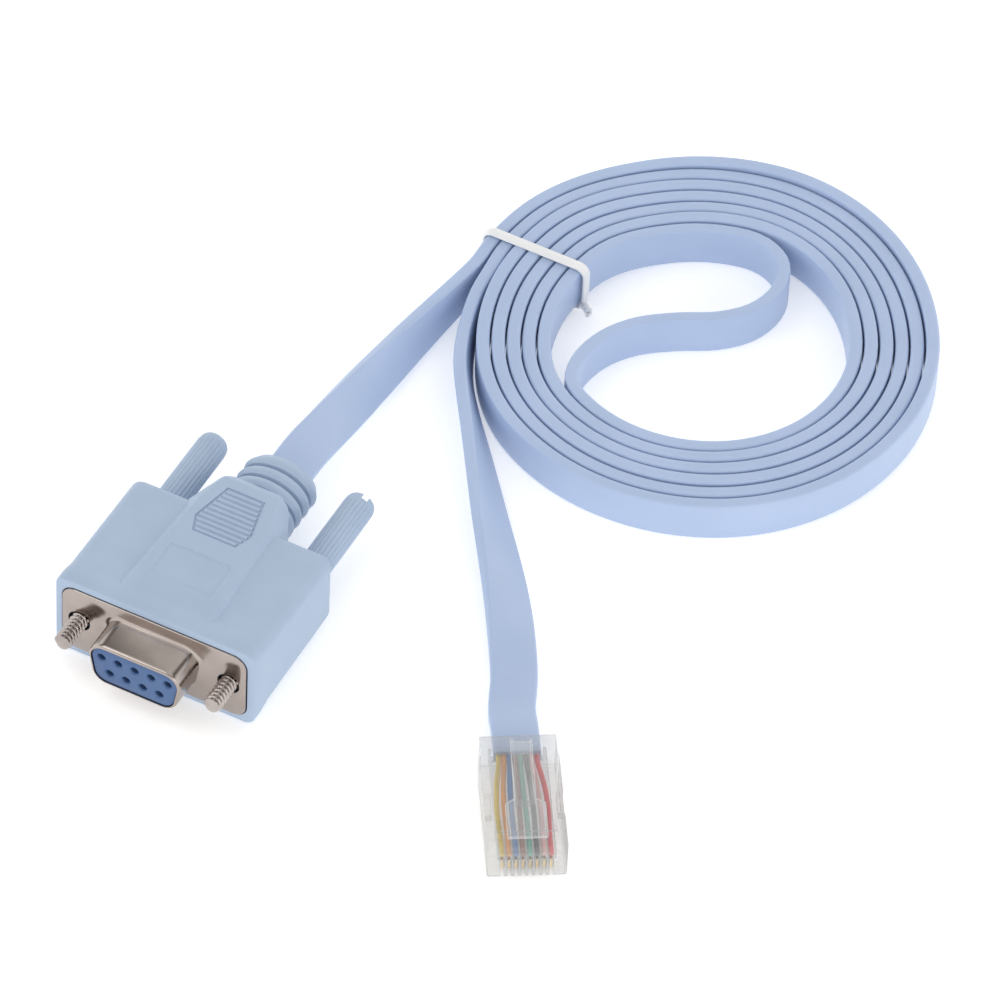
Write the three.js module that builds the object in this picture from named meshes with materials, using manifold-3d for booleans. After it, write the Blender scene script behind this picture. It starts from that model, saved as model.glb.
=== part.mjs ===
// RJ45 console cable: a moulded nine-way D connector with two thumbscrews, a flat eight-core
// cable wound on edge into a tied coil, and a clear eight-way modular plug.
// Millimetres, +Z up. The connector's mating side faces -Y, and everything lies on the plane z = 0.
// The origin is on that plane, under the middle of the D connector and its thumbscrews.

import * as THREE from "three";
import { mergeVertices } from "three/addons/utils/BufferGeometryUtils.js";
import Module from "manifold-3d";

const wasm = await Module();
wasm.setup();

// Driving dimensions

const CLEARANCE = 0.3; // between two pieces that touch or fit in the real object

// D connector
const FLANGE = { width: 30.8, height: 12.5, thickness: 0.9, corner: 2.2 };
const SHELL = { width: 16.33, height: 7.9, projection: 5.9, wall: 0.45, slant: 10, corner: 2.3 };
const CONTACTS = { pitch: 2.77, rowGap: 2.84, hole: 1.25, chamber: 2.0, diameter: 1.4, bore: 0.8, boreDepth: 3 };
const INSULATOR = { recess: 0.15, lip: 0.8, contactSetback: 1.2 };
const SCREW = { spacing: 25.0, thread: 2.84, shank: 2.2, reach: 5.35, threadEnd: 2.6, embed: 9.0 };
const KNOB = { diameter: 4.9, front: 9.0, end: 41.5, rounding: 1.1, slotWidth: 1.0, slotDepth: 1.3 };

// Hood, moulded in one with its strain relief
const HOOD = { width: 33.4, thickness: 15.0, corner: 1.8, front: 0.25, shoulder: 23.4 };
const WING = { start: 3.0, drop: 1.7, ridgeHalf: 7.9 };
const BLOCK = { frontHalf: 7.9, rearHalf: 5.9, rear: 30.4, chamfer: 1.2 };
const RELIEF = { width: 12.2, height: 9.6, groove: 0.55, grooveWidth: 0.6, end: 39.4 };
const RELIEF_GROOVES = [33.6, 35.4, 37.2];
const RECESS = { width: 10.4, length: 6.7, front: 7.8, depth: 0.25 };
const GRIP = { front: 18.3, widest: 21.0, rear: 27.8, frontHalf: 3.3, widestHalf: 4.4, rearHalf: 2.8 };
const GRIP_SINK = 0.25;

// Flat cable
const CABLE = { width: 7.0, thickness: 2.05, edge: 0.6, pitch: 2.35 };
const COIL = { x: 41.3, y: 80.4, innerTurn: 23.1, turnsStart: [100, 241], shiftSpan: 72 };
const LEAVE_ANGLE = 180; // where both tails leave the coil
const TURNS_BEFORE_LEAVING = 2; // full turns of the outermost strand up to its last one
const LANES_AT_LEAVING = 6;
const ANGLE_STEP = 5;

// Tie round the coil, and how far the coil is lifted over it
const TIE = { angle: 176.2, width: 1.8, thickness: 0.9, stub: 4.2, stubRadius: 0.75 };
const LIFT_SPAN = 38;

// Modular plug
const PLUG = { width: 11.68, length: 21.4, height: 6.6, x: 53.6, y: -5.1, turn: 31.7, corner: 0.35 };
const PLUG_CABLE_DEPTH = 3.0;
const BLADE = { pitch: 1.02, thickness: 0.32, length: 5.2, height: 1.85, inset: 1.0, bottom: 0.75, sideGap: 0.12 };
const WIRE = { diameter: 0.7, sides: 6 };
const LATCH = { length: 16.0, rise: 9.5, thickness: 0.95, shoulderHalf: 2.95, leverHalf: 1.58 };
const LATCH_SHOULDER_LENGTH = 5.6;
const LATCH_HINGE_INSET = 1.2;

// Derived places

const FLANGE_Y = (SHELL.projection - KNOB.end) / 2;
const AXIS_Z = HOOD.thickness / 2;
const TIE_LIFT = TIE.thickness + CLEARANCE;

// Finishes: the colour, roughness and metalness of each piece

function finish(color, roughness, metalness = 0, opacity = 1) {
  const clear = opacity < 1;
  return () => new THREE.MeshStandardMaterial({ color, roughness, metalness, opacity, transparent: clear });
}

const FINISHES = {
  hood: finish(0xa9bbd0, 0.55),
  nickel: finish(0xc9bdb3, 0.25, 1),
  steel: finish(0xb5a9a0, 0.3, 1),
  insulator: finish(0x4d7bb8, 0.5),
  gold: finish(0xd9b25c, 0.3, 1),
  cable: finish(0xb4cbea, 0.5),
  tie: finish(0xf0efec, 0.45),
  clear: finish(0xe8eef2, 0.08, 0, 0.35),
};

const WIRE_COLOURS = [0xd9b23a, 0xd98a3a, 0x3f6fae, 0x8a5a48, 0x2f8f78, 0x3a3a3c, 0xd8a7a0, 0xc8283c];

// Solids and booleans

function solidOf(geometry) {
  const bare = geometry.clone();
  bare.deleteAttribute("normal");
  bare.deleteAttribute("uv");
  const welded = mergeVertices(bare, 1e-5);
  return new wasm.Manifold(
    new wasm.Mesh({
      numProp: 3,
      vertProperties: new Float32Array(welded.attributes.position.array),
      triVerts: new Uint32Array(welded.index.array),
    }),
  );
}

function geometryOf(solid) {
  const mesh = solid.getMesh();
  const geometry = new THREE.BufferGeometry();
  geometry.setAttribute("position", new THREE.BufferAttribute(new Float32Array(mesh.vertProperties), 3));
  geometry.setIndex(new THREE.BufferAttribute(new Uint32Array(mesh.triVerts), 1));
  geometry.computeVertexNormals();
  return geometry;
}

function join(geometries) {
  return geometryOf(geometries.map(solidOf).reduce((whole, piece) => whole.add(piece)));
}

function cut(geometry, tools) {
  const remaining = tools.map(solidOf).reduce((whole, tool) => whole.subtract(tool), solidOf(geometry));
  return geometryOf(remaining);
}

// Outlines and prisms

function roundedRectangle(width, height, radius) {
  const x = width / 2;
  const y = height / 2;
  const shape = new THREE.Shape();
  shape.moveTo(-x + radius, -y);
  shape.lineTo(x - radius, -y);
  shape.absarc(x - radius, -y + radius, radius, -Math.PI / 2, 0);
  shape.lineTo(x, y - radius);
  shape.absarc(x - radius, y - radius, radius, 0, Math.PI / 2);
  shape.lineTo(-x + radius, y);
  shape.absarc(-x + radius, y - radius, radius, Math.PI / 2, Math.PI);
  shape.lineTo(-x, -y + radius);
  shape.absarc(-x + radius, -y + radius, radius, Math.PI, 1.5 * Math.PI);
  return shape;
}

function polygon(points) {
  return new THREE.Shape(points.map(([x, y]) => new THREE.Vector2(x, y)));
}

function mirroredPolygon(halfPoints) {
  const left = halfPoints.map(([x, y]) => [-x, y]).reverse();
  return polygon([...halfPoints, ...left]);
}

const AXES = {
  // each entry: where the outline's x, its y and the direction of extrusion point
  x: new THREE.Matrix4().set(0, 0, 1, 0, 1, 0, 0, 0, 0, 1, 0, 0, 0, 0, 0, 1),
  y: new THREE.Matrix4().set(1, 0, 0, 0, 0, 0, -1, 0, 0, 1, 0, 0, 0, 0, 0, 1),
  z: new THREE.Matrix4(),
};

function prism(shape, axis, from, to, curveSegments = 4) {
  const geometry = new THREE.ExtrudeGeometry(shape, { depth: to - from, bevelEnabled: false, curveSegments });
  geometry.applyMatrix4(AXES[axis]);
  if (axis === "x") geometry.translate(from, 0, 0);
  if (axis === "y") geometry.translate(0, to, 0);
  if (axis === "z") geometry.translate(0, 0, from);
  return geometry;
}

function rodY(radius, from, to, sides, x = 0, z = 0) {
  const geometry = new THREE.CylinderGeometry(radius, radius, to - from, sides);
  return geometry.translate(x, (from + to) / 2, z);
}

function turnedY(profile, sides) {
  return new THREE.LatheGeometry(
    profile.map(([radius, y]) => new THREE.Vector2(radius, y)),
    sides,
  );
}

// The D outline, its wide side up, shrunk by an inset all round
function dOutline(inset) {
  const slope = Math.tan(THREE.MathUtils.degToRad(SHELL.slant));
  const half = SHELL.height / 2 - inset;
  const sideInset = inset / Math.cos(THREE.MathUtils.degToRad(SHELL.slant));
  const middle = SHELL.width / 2 - (SHELL.height / 2) * slope - sideInset;
  const radius = SHELL.corner - inset;
  const corners = [
    [middle - half * slope, -half],
    [middle + half * slope, half],
    [-middle - half * slope, half],
    [-middle + half * slope, -half],
  ];
  return roundedPolygon(corners, radius);
}

// A polygon whose corners are arcs of one radius
function roundedPolygon(corners, radius) {
  const shape = new THREE.Shape();
  corners.forEach(([x, y], index) => {
    const corner = new THREE.Vector2(x, y);
    const before = new THREE.Vector2(...corners.at(index - 1)).sub(corner).normalize();
    const after = new THREE.Vector2(...corners[(index + 1) % corners.length]).sub(corner).normalize();
    const halfAngle = Math.acos(before.dot(after)) / 2;
    const bisector = before.clone().add(after).normalize();
    const centre = corner.clone().addScaledVector(bisector, radius / Math.sin(halfAngle));
    const reach = radius / Math.tan(halfAngle);
    const from = corner.clone().addScaledVector(before, reach).sub(centre).angle();
    const to = corner.clone().addScaledVector(after, reach).sub(centre).angle();
    shape.absarc(centre.x, centre.y, radius, from, to, false);
  });
  return shape;
}

// D connector

function hoodGeometry() {
  const half = HOOD.thickness / 2;
  const outer = HOOD.width / 2 + 1;
  const body = prism(roundedRectangle(HOOD.width, HOOD.thickness, HOOD.corner), "y", HOOD.front, HOOD.shoulder);
  const block = prism(
    mirroredPolygon([
      [BLOCK.frontHalf, WING.start],
      [BLOCK.frontHalf, HOOD.shoulder],
      [BLOCK.rearHalf, BLOCK.rear],
    ]),
    "z",
    -half + BLOCK.chamfer,
    half - BLOCK.chamfer,
  );
  const ridge = prism(
    polygon([
      [WING.start, -half],
      [BLOCK.rear - BLOCK.chamfer, -half],
      [BLOCK.rear, -half + BLOCK.chamfer],
      [BLOCK.rear, half - BLOCK.chamfer],
      [BLOCK.rear - BLOCK.chamfer, half],
      [WING.start, half],
    ]),
    "x",
    -BLOCK.rearHalf + BLOCK.chamfer,
    BLOCK.rearHalf - BLOCK.chamfer,
  );
  const wingCuts = [];
  for (const side of [-1, 1]) {
    for (const face of [-1, 1]) {
      const slope = polygon([
        [WING.start, face * half],
        [HOOD.shoulder + 1, face * (half - WING.drop)],
        [HOOD.shoulder + 1, face * (half + 1)],
        [WING.start, face * (half + 1)],
      ]);
      const [from, to] = side > 0 ? [WING.ridgeHalf, outer] : [-outer, -WING.ridgeHalf];
      wingCuts.push(prism(slope, "x", from, to));
    }
  }
  const whole = join([cut(body, wingCuts), block, ridge, reliefGeometry()]);
  return cut(whole, [flangePocket(), ...topMarks(), ...screwBores()]);
}

function reliefGeometry() {
  const core = 1 - (2 * RELIEF.groove) / RELIEF.width;
  const profile = [[0, BLOCK.rear - 2]];
  profile.push([1, BLOCK.rear - 2]);
  for (const groove of RELIEF_GROOVES) {
    profile.push([1, groove - RELIEF.grooveWidth / 2]);
    profile.push([core, groove - RELIEF.grooveWidth / 4]);
    profile.push([core, groove + RELIEF.grooveWidth / 4]);
    profile.push([1, groove + RELIEF.grooveWidth / 2]);
  }
  profile.push([1, RELIEF.end - RELIEF.groove]);
  profile.push([core, RELIEF.end]);
  profile.push([0, RELIEF.end]);
  return turnedY(profile, 24).scale(RELIEF.width / 2, 1, RELIEF.height / 2);
}

function flangePocket() {
  const outline = roundedRectangle(
    FLANGE.width + 2 * CLEARANCE,
    FLANGE.height + 2 * CLEARANCE,
    FLANGE.corner + CLEARANCE,
  );
  return prism(outline, "y", -1, FLANGE.thickness + CLEARANCE);
}

function topMarks() {
  const half = HOOD.thickness / 2;
  const label = polygon([
    [-RECESS.width / 2, RECESS.front],
    [RECESS.width / 2, RECESS.front],
    [RECESS.width / 2, RECESS.front + RECESS.length],
    [-RECESS.width / 2, RECESS.front + RECESS.length],
  ]);
  const grip = mirroredPolygon([
    [GRIP.frontHalf, GRIP.front],
    [GRIP.widestHalf, GRIP.widest],
    [GRIP.rearHalf, GRIP.rear],
  ]);
  return [prism(label, "z", half - RECESS.depth, half + 1), prism(grip, "z", half - GRIP_SINK, half + 1)];
}

function screwBores() {
  const bores = [];
  for (const side of [-1, 1]) {
    const x = (side * SCREW.spacing) / 2;
    bores.push(rodY(SCREW.thread / 2 + CLEARANCE, -1, KNOB.front, 16, x));
    bores.push(rodY(KNOB.diameter / 2 + CLEARANCE, KNOB.front - CLEARANCE, HOOD.shoulder + 1, 20, x));
  }
  return bores;
}

function shellGeometry() {
  const flange = prism(roundedRectangle(FLANGE.width, FLANGE.height, FLANGE.corner), "y", 0, FLANGE.thickness);
  const tube = prism(dOutline(0), "y", -SHELL.projection, FLANGE.thickness / 2);
  const inside = prism(dOutline(SHELL.wall), "y", -SHELL.projection - 1, FLANGE.thickness + 1);
  const holes = [-1, 1].map((side) => rodY(SCREW.thread / 2 + CLEARANCE, -1, 2, 16, (side * SCREW.spacing) / 2));
  return cut(join([flange, tube]), [inside, ...holes]);
}

// The nine contact places, seen from the mating side: five above four
function contactPlaces() {
  const places = [];
  for (let index = 0; index < 5; index++) places.push([(index - 2) * CONTACTS.pitch, CONTACTS.rowGap / 2]);
  for (let index = 0; index < 4; index++) places.push([(index - 1.5) * CONTACTS.pitch, -CONTACTS.rowGap / 2]);
  return places;
}

function insulatorGeometry() {
  const front = -SHELL.projection + INSULATOR.recess;
  const body = prism(dOutline(SHELL.wall + CLEARANCE), "y", front, FLANGE.thickness);
  const tools = [];
  for (const [x, z] of contactPlaces()) {
    tools.push(rodY(CONTACTS.hole / 2, front - 1, front + INSULATOR.lip + 0.5, 12, x, z));
    tools.push(rodY(CONTACTS.chamber / 2, front + INSULATOR.lip, FLANGE.thickness + 1, 12, x, z));
  }
  return cut(body, tools);
}

function contactGeometry() {
  const front = -SHELL.projection + INSULATOR.recess + INSULATOR.contactSetback;
  const outer = CONTACTS.diameter / 2;
  const inner = CONTACTS.bore / 2;
  return turnedY(
    [
      [0, front + CONTACTS.boreDepth],
      [inner, front + CONTACTS.boreDepth],
      [inner, front],
      [outer, front],
      [outer, FLANGE.thickness],
      [0, FLANGE.thickness],
    ],
    12,
  );
}

function screwGeometry() {
  const tip = -SCREW.reach;
  return turnedY(
    [
      [0, tip],
      [SCREW.thread / 2 - 0.5, tip],
      [SCREW.thread / 2, tip + 0.5],
      [SCREW.thread / 2, SCREW.threadEnd],
      [SCREW.shank / 2, SCREW.threadEnd + 0.3],
      [SCREW.shank / 2, KNOB.front + SCREW.embed],
      [0, KNOB.front + SCREW.embed],
    ],
    20,
  );
}

function knobGeometry() {
  const radius = KNOB.diameter / 2;
  const body = turnedY(
    [
      [0, KNOB.front],
      [radius, KNOB.front],
      [radius, KNOB.end - KNOB.rounding],
      [radius - KNOB.rounding * 0.3, KNOB.end - KNOB.rounding * 0.3],
      [radius - KNOB.rounding, KNOB.end],
      [0, KNOB.end],
    ],
    24,
  );
  const socket = rodY(SCREW.shank / 2 + CLEARANCE, KNOB.front - 1, KNOB.front + SCREW.embed + CLEARANCE, 16);
  const slot = new THREE.BoxGeometry(KNOB.diameter + 1, 2 * KNOB.slotDepth, KNOB.slotWidth);
  return cut(body, [socket, slot.translate(0, KNOB.end, 0)]);
}

// Flat cable

const degrees = (angle) => THREE.MathUtils.degToRad(angle);

function smooth(value) {
  const t = Math.min(Math.max(value, 0), 1);
  return t * t * (3 - 2 * t);
}

// How many strands have joined inside a strand by a given unwound angle. Each arm of the cable
// joins on the inside once a turn, and the strands outside it have moved out by then.
function strandsJoined(angle) {
  return COIL.turnsStart.reduce((count, start) => {
    const turns = Math.floor((angle - start) / 360);
    const beforeNext = start + 360 * (turns + 1) - angle;
    return count + turns + smooth(1 - beforeNext / COIL.shiftSpan);
  }, 0);
}

function strandRadius(arm, angle) {
  const joined = strandsJoined(angle) - strandsJoined(COIL.turnsStart[arm]);
  return COIL.innerTurn + CABLE.pitch * joined;
}

function onCoil(angle, radius) {
  return [COIL.x + radius * Math.cos(degrees(angle)), COIL.y + radius * Math.sin(degrees(angle))];
}

// The coil is lifted off the ground over the tie that passes beneath it
function liftAt(x, y) {
  const angle = THREE.MathUtils.euclideanModulo((Math.atan2(y - COIL.y, x - COIL.x) * 180) / Math.PI, 360);
  return TIE_LIFT * smooth(1.25 - Math.abs(angle - TIE.angle) / LIFT_SPAN);
}

function ringSide(from, to, radiusAt) {
  const steps = Math.round((to - from) / ANGLE_STEP);
  const points = [];
  for (let step = 0; step <= steps; step++) {
    const angle = from + ((to - from) * step) / steps;
    points.push(onCoil(angle, radiusAt(angle)));
  }
  return points;
}

function coilGeometry() {
  const half = CABLE.thickness / 2;
  const lastTurn = 360 * TURNS_BEFORE_LEAVING;
  const outside = ringSide(LEAVE_ANGLE, LEAVE_ANGLE + 360, (angle) => strandRadius(0, angle + lastTurn) + half);
  const [firstStart, secondStart] = COIL.turnsStart;
  const inside = [
    ...ringSide(secondStart, firstStart + 360, (angle) => strandRadius(1, angle) - half),
    ...ringSide(firstStart + 360, secondStart + 360, (angle) => strandRadius(0, angle - 360) - half),
  ];
  const shape = polygon(outside);
  shape.holes.push(new THREE.Path(inside.map(([x, y]) => new THREE.Vector2(x, y))));
  const ring = prism(shape, "z", 0, CABLE.width);
  const position = ring.attributes.position;
  for (let index = 0; index < position.count; index++) {
    const lift = liftAt(position.getX(index), position.getY(index));
    position.setZ(index, position.getZ(index) + lift);
  }
  return ring;
}

// A stretch of cable: its section follows the route, standing on edge where the turn is 0
// degrees and lying flat where it is 90
function stripGeometry(points, steps, turnAt) {
  const curve = new THREE.CatmullRomCurve3(
    points.map((point) => new THREE.Vector3(...point)),
    false,
    "centripetal",
  );
  curve.arcLengthDivisions = 400;
  const w = CABLE.width / 2;
  const t = CABLE.thickness / 2;
  const e = CABLE.edge;
  const section = polygon([
    [-t + e, -w],
    [t - e, -w],
    [t, -w + e],
    [t, w - e],
    [t - e, w],
    [-t + e, w],
    [-t, w - e],
    [-t, -w + e],
  ]);
  const strip = new THREE.ExtrudeGeometry(section, { depth: 1, steps, bevelEnabled: false });
  const position = strip.attributes.position;
  const up = new THREE.Vector3(0, 0, 1);
  for (let index = 0; index < position.count; index++) {
    const along = THREE.MathUtils.clamp(position.getZ(index), 0, 1);
    const tangent = curve.getTangentAt(along);
    const side = new THREE.Vector3().crossVectors(up, tangent).normalize();
    const rise = new THREE.Vector3().crossVectors(tangent, side);
    const turn = degrees(turnAt(along));
    const across = side.clone().multiplyScalar(Math.cos(turn)).addScaledVector(rise, Math.sin(turn));
    const broad = rise.clone().multiplyScalar(Math.cos(turn)).addScaledVector(side, -Math.sin(turn));
    const point = curve
      .getPointAt(along)
      .addScaledVector(across, position.getX(index))
      .addScaledVector(broad, position.getY(index));
    position.setXYZ(index, point.x, point.y, point.z);
  }
  return strip;
}

const LYING = CABLE.width / 2;

// A tail turns from standing on edge at the coil to lying flat by a share of its length
function flatteningBy(share, power) {
  return (along) => 90 * Math.min(1, along / share) ** power;
}

// The places where the three loose stretches meet the coil, a clearance off its end faces
function meeting(arm, angle, lane, gap) {
  const radius = COIL.innerTurn + CABLE.pitch * lane;
  const turned = angle + ((gap / radius) * 180) / Math.PI;
  const [x, y] = onCoil(turned, radius);
  return [x, y, LYING + liftAt(x, y)];
}

// The S-shaped middle of the cable inside the coil, from the left end round to the right end
const FOLD_ROUTE = [
  meeting(1, COIL.turnsStart[1], 0, -CLEARANCE),
  meeting(1, COIL.turnsStart[1], -0.2, -3.2),
  [26.6, 66.3, LYING],
  [26.9, 70.2, LYING],
  [28.3, 74.2, LYING],
  [31.2, 78.2, LYING],
  [35.9, 81.9, LYING],
  [41.4, 85.3, LYING],
  [44.9, 89.2, LYING],
  [46.4, 93.6, LYING],
  [46.1, 97.8, LYING],
  [44.2, 101.1, LYING],
  meeting(0, COIL.turnsStart[0], -0.2, -3.2),
  meeting(0, COIL.turnsStart[0], 0, -CLEARANCE),
];

// From the coil to the D connector's strain relief
const DB9_TAIL_ROUTE = [
  meeting(0, LEAVE_ANGLE, LANES_AT_LEAVING, CLEARANCE),
  [3.9, 76.6, LYING + 0.9],
  [3.1, 71.0, LYING + 0.6],
  [2.2, 65.0, LYING + 0.4],
  [1.4, 59.0, LYING + 0.3],
  [0.8, 53.0, LYING + 0.4],
  [0.4, 47.0, LYING + 0.9],
  [0.2, 41.0, LYING + 1.7],
  [0.1, 35.0, LYING + 2.7],
  [0.0, 29.0, LYING + 3.7],
  [0.0, 25.0, AXIS_Z - 0.1],
  [0.0, FLANGE_Y + RELIEF.end + CLEARANCE, AXIS_Z],
];

// From the coil to the modular plug
const PLUG_TURN = degrees(PLUG.turn);
const PLUG_CABLE_Z = PLUG.height / 2;
const plugPoint = (x, y, z) => [
  PLUG.x + x * Math.cos(PLUG_TURN) - y * Math.sin(PLUG_TURN),
  PLUG.y + x * Math.sin(PLUG_TURN) + y * Math.cos(PLUG_TURN),
  z,
];

const RJ45_TAIL_ROUTE = [
  meeting(1, LEAVE_ANGLE, LANES_AT_LEAVING - 1, CLEARANCE),
  [6.5, 76.5, LYING + 1.0],
  [6.9, 71.5, LYING + 0.7],
  [8.1, 66.5, LYING + 0.4],
  [9.7, 61.9, LYING + 0.2],
  [11.8, 57.6, LYING + 0.1],
  [15.1, 52.7, LYING + 0.1],
  [19.6, 46.6, LYING + 0.1],
  [24.4, 40.0, LYING],
  [29.2, 33.4, LYING - 0.2],
  [33.8, 27.3, LYING - 0.6],
  [38.0, 21.6, LYING - 1.3],
  [42.2, 15.2, CABLE.thickness / 2 + 0.8],
  [46.1, 8.6, CABLE.thickness / 2 + 0.3],
  plugPoint(0, 9, PLUG_CABLE_Z - 1.6),
  plugPoint(0, 4, PLUG_CABLE_Z - 0.4),
  plugPoint(0, -PLUG_CABLE_DEPTH + CLEARANCE, PLUG_CABLE_Z),
];

function tieGeometry() {
  const inner = COIL.innerTurn - CABLE.thickness / 2 - CLEARANCE;
  const outer = COIL.innerTurn + CABLE.pitch * LANES_AT_LEAVING + CABLE.thickness / 2 + CLEARANCE;
  const width = outer - inner + 2 * TIE.thickness;
  const height = CABLE.width + 2 * CLEARANCE + 2 * TIE.thickness;
  const loop = prism(roundedRectangle(width, height, TIE.thickness + 0.4), "y", -TIE.width / 2, TIE.width / 2);
  const opening = prism(
    roundedRectangle(width - 2 * TIE.thickness, height - 2 * TIE.thickness, 0.4),
    "y",
    -TIE.width,
    TIE.width,
  );
  const stub = new THREE.CylinderGeometry(TIE.stubRadius, TIE.stubRadius, TIE.stub, 10);
  stub.rotateZ(Math.PI / 2).rotateY(-0.5);
  stub.translate(-width / 2 + TIE.thickness / 2 - TIE.stub / 2 + 0.6, 0.9, -height / 2 + 1.7);
  const tie = join([cut(loop, [opening]), stub]);
  tie.translate((inner + outer) / 2, 0, height / 2);
  tie.rotateZ(degrees(TIE.angle));
  return tie.translate(COIL.x, COIL.y, 0);
}

// Modular plug, in its own frame: the nose points to -Y and the cable comes in at y = 0

function plugBodyGeometry() {
  const nose = -PLUG.length;
  const shape = roundedRectangle(PLUG.width, PLUG.height, PLUG.corner).extractPoints(2).shape;
  const body = prism(new THREE.Shape(shape), "y", nose, 0).translate(0, 0, PLUG.height / 2);
  const cableRoom = new THREE.BoxGeometry(
    CABLE.width + 2 * CLEARANCE,
    PLUG_CABLE_DEPTH + 1,
    CABLE.thickness + 2 * CLEARANCE,
  ).translate(0, (1 - PLUG_CABLE_DEPTH) / 2, PLUG_CABLE_Z);
  const wireWidth = 7 * BLADE.pitch + WIRE.diameter + 2 * CLEARANCE;
  const wireEnd = nose + BLADE.inset;
  const wireRoom = new THREE.BoxGeometry(
    wireWidth,
    -PLUG_CABLE_DEPTH - wireEnd + 1,
    WIRE.diameter + 2 * CLEARANCE,
  ).translate(0, (-PLUG_CABLE_DEPTH + wireEnd + 1) / 2, PLUG_CABLE_Z);
  const slotLength = BLADE.inset + BLADE.length + CLEARANCE;
  const slotTop = BLADE.bottom + BLADE.height + CLEARANCE;
  const slots = bladePlaces().map((x) =>
    new THREE.BoxGeometry(BLADE.thickness + 2 * BLADE.sideGap, slotLength + 1, slotTop + 1)
      .translate(x, nose + (slotLength - 1) / 2, (slotTop - 1) / 2),
  );
  return cut(body, [cableRoom, wireRoom, ...slots]);
}

function bladePlaces() {
  return Array.from({ length: 8 }, (_, index) => (index - 3.5) * BLADE.pitch);
}

function bladeGeometry() {
  const y = -PLUG.length + BLADE.inset + BLADE.length / 2;
  return new THREE.BoxGeometry(BLADE.thickness, BLADE.length, BLADE.height).translate(0, y, 0);
}

function wireGeometry() {
  const nose = -PLUG.length + BLADE.inset + CLEARANCE;
  return rodY(WIRE.diameter / 2, nose, -PLUG_CABLE_DEPTH, WIRE.sides, 0, PLUG_CABLE_Z);
}

function latchGeometry() {
  const outline = mirroredPolygon([
    [LATCH.shoulderHalf, 0],
    [LATCH.shoulderHalf, LATCH_SHOULDER_LENGTH],
    [LATCH.leverHalf, LATCH_SHOULDER_LENGTH + 1.2],
    [LATCH.leverHalf, LATCH.length],
  ]);
  return prism(outline, "z", 0, LATCH.thickness).rotateX(degrees(LATCH.rise));
}

// Assembly

const cable = new THREE.Group();
const dConnector = new THREE.Group();
const plug = new THREE.Group();
dConnector.position.set(0, FLANGE_Y, AXIS_Z);
plug.position.set(PLUG.x, PLUG.y, 0);
plug.rotation.z = PLUG_TURN;

function add(group, name, geometry, material, place = [0, 0, 0]) {
  const mesh = new THREE.Mesh(geometry, material());
  mesh.name = name;
  mesh.position.set(...place);
  group.add(mesh);
}

add(dConnector, "db9_hood", hoodGeometry(), FINISHES.hood);
add(dConnector, "db9_shell", shellGeometry(), FINISHES.nickel);
add(dConnector, "db9_insulator", insulatorGeometry(), FINISHES.insulator);
contactPlaces().forEach(([x, z], index) => {
  add(dConnector, `socket_contact_${index + 1}`, contactGeometry(), FINISHES.gold, [x, 0, z]);
});
for (const [side, word] of [[-1, "left"], [1, "right"]]) {
  const place = [(side * SCREW.spacing) / 2, 0, 0];
  add(dConnector, `screw_${word}`, screwGeometry(), FINISHES.steel, place);
  add(dConnector, `thumbscrew_knob_${word}`, knobGeometry(), FINISHES.hood, place);
}

add(cable, "cable_tail_db9", stripGeometry(DB9_TAIL_ROUTE, 11, flatteningBy(1, 1.5)), FINISHES.cable);
add(cable, "cable_coil", coilGeometry(), FINISHES.cable);
add(cable, "cable_inner_fold", stripGeometry(FOLD_ROUTE, 20, () => 0), FINISHES.cable);
add(cable, "cable_tail_rj45", stripGeometry(RJ45_TAIL_ROUTE, 18, flatteningBy(0.8, 1.6)), FINISHES.cable);
add(cable, "cable_tie", tieGeometry(), FINISHES.tie);

add(plug, "rj45_body", plugBodyGeometry(), FINISHES.clear);
add(plug, "rj45_latch", latchGeometry(), FINISHES.clear, [
  0,
  -PLUG.length + LATCH_HINGE_INSET,
  PLUG.height + CLEARANCE,
]);
bladePlaces().forEach((x, index) => {
  const bladeZ = BLADE.bottom + BLADE.height / 2;
  add(plug, `rj45_contact_${index + 1}`, bladeGeometry(), FINISHES.gold, [x, 0, bladeZ]);
  add(plug, `rj45_wire_${index + 1}`, wireGeometry(), finish(WIRE_COLOURS[index], 0.5), [x, 0, 0]);
});

const consoleCable = new THREE.Group();
consoleCable.add(dConnector, cable, plug);

export default consoleCable;
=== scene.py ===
"""RJ45 console cable: its looks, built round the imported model.

Lengths in the classes are millimetres, and every mesh is brought to metres when it is finished.
The D connector's own frame has its origin in the middle of the flange's face, with +Y to the rear.
The plug's own frame has its origin under the middle of its rear face, with its nose towards -Y.
"""

from __future__ import annotations

import logging
import math
from dataclasses import dataclass, field
from enum import Enum
from typing import Callable, Iterable, Sequence

import bmesh
import bpy
from mathutils import Matrix, Vector


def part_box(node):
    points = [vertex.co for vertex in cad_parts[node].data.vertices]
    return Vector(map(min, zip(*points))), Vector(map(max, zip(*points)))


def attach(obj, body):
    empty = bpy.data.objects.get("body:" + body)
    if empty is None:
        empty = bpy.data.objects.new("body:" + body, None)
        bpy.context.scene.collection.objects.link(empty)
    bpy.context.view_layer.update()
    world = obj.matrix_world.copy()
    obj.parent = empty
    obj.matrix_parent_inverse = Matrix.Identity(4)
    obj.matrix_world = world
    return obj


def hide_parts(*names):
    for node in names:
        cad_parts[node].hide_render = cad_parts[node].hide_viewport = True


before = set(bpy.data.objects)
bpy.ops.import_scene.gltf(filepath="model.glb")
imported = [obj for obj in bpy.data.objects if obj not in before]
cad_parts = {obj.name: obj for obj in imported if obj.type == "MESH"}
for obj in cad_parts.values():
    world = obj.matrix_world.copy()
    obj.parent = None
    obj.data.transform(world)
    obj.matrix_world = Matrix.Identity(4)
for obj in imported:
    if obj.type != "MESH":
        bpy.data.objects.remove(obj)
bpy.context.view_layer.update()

LOG = logging.getLogger("console_cable")
MM = 0.001

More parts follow.
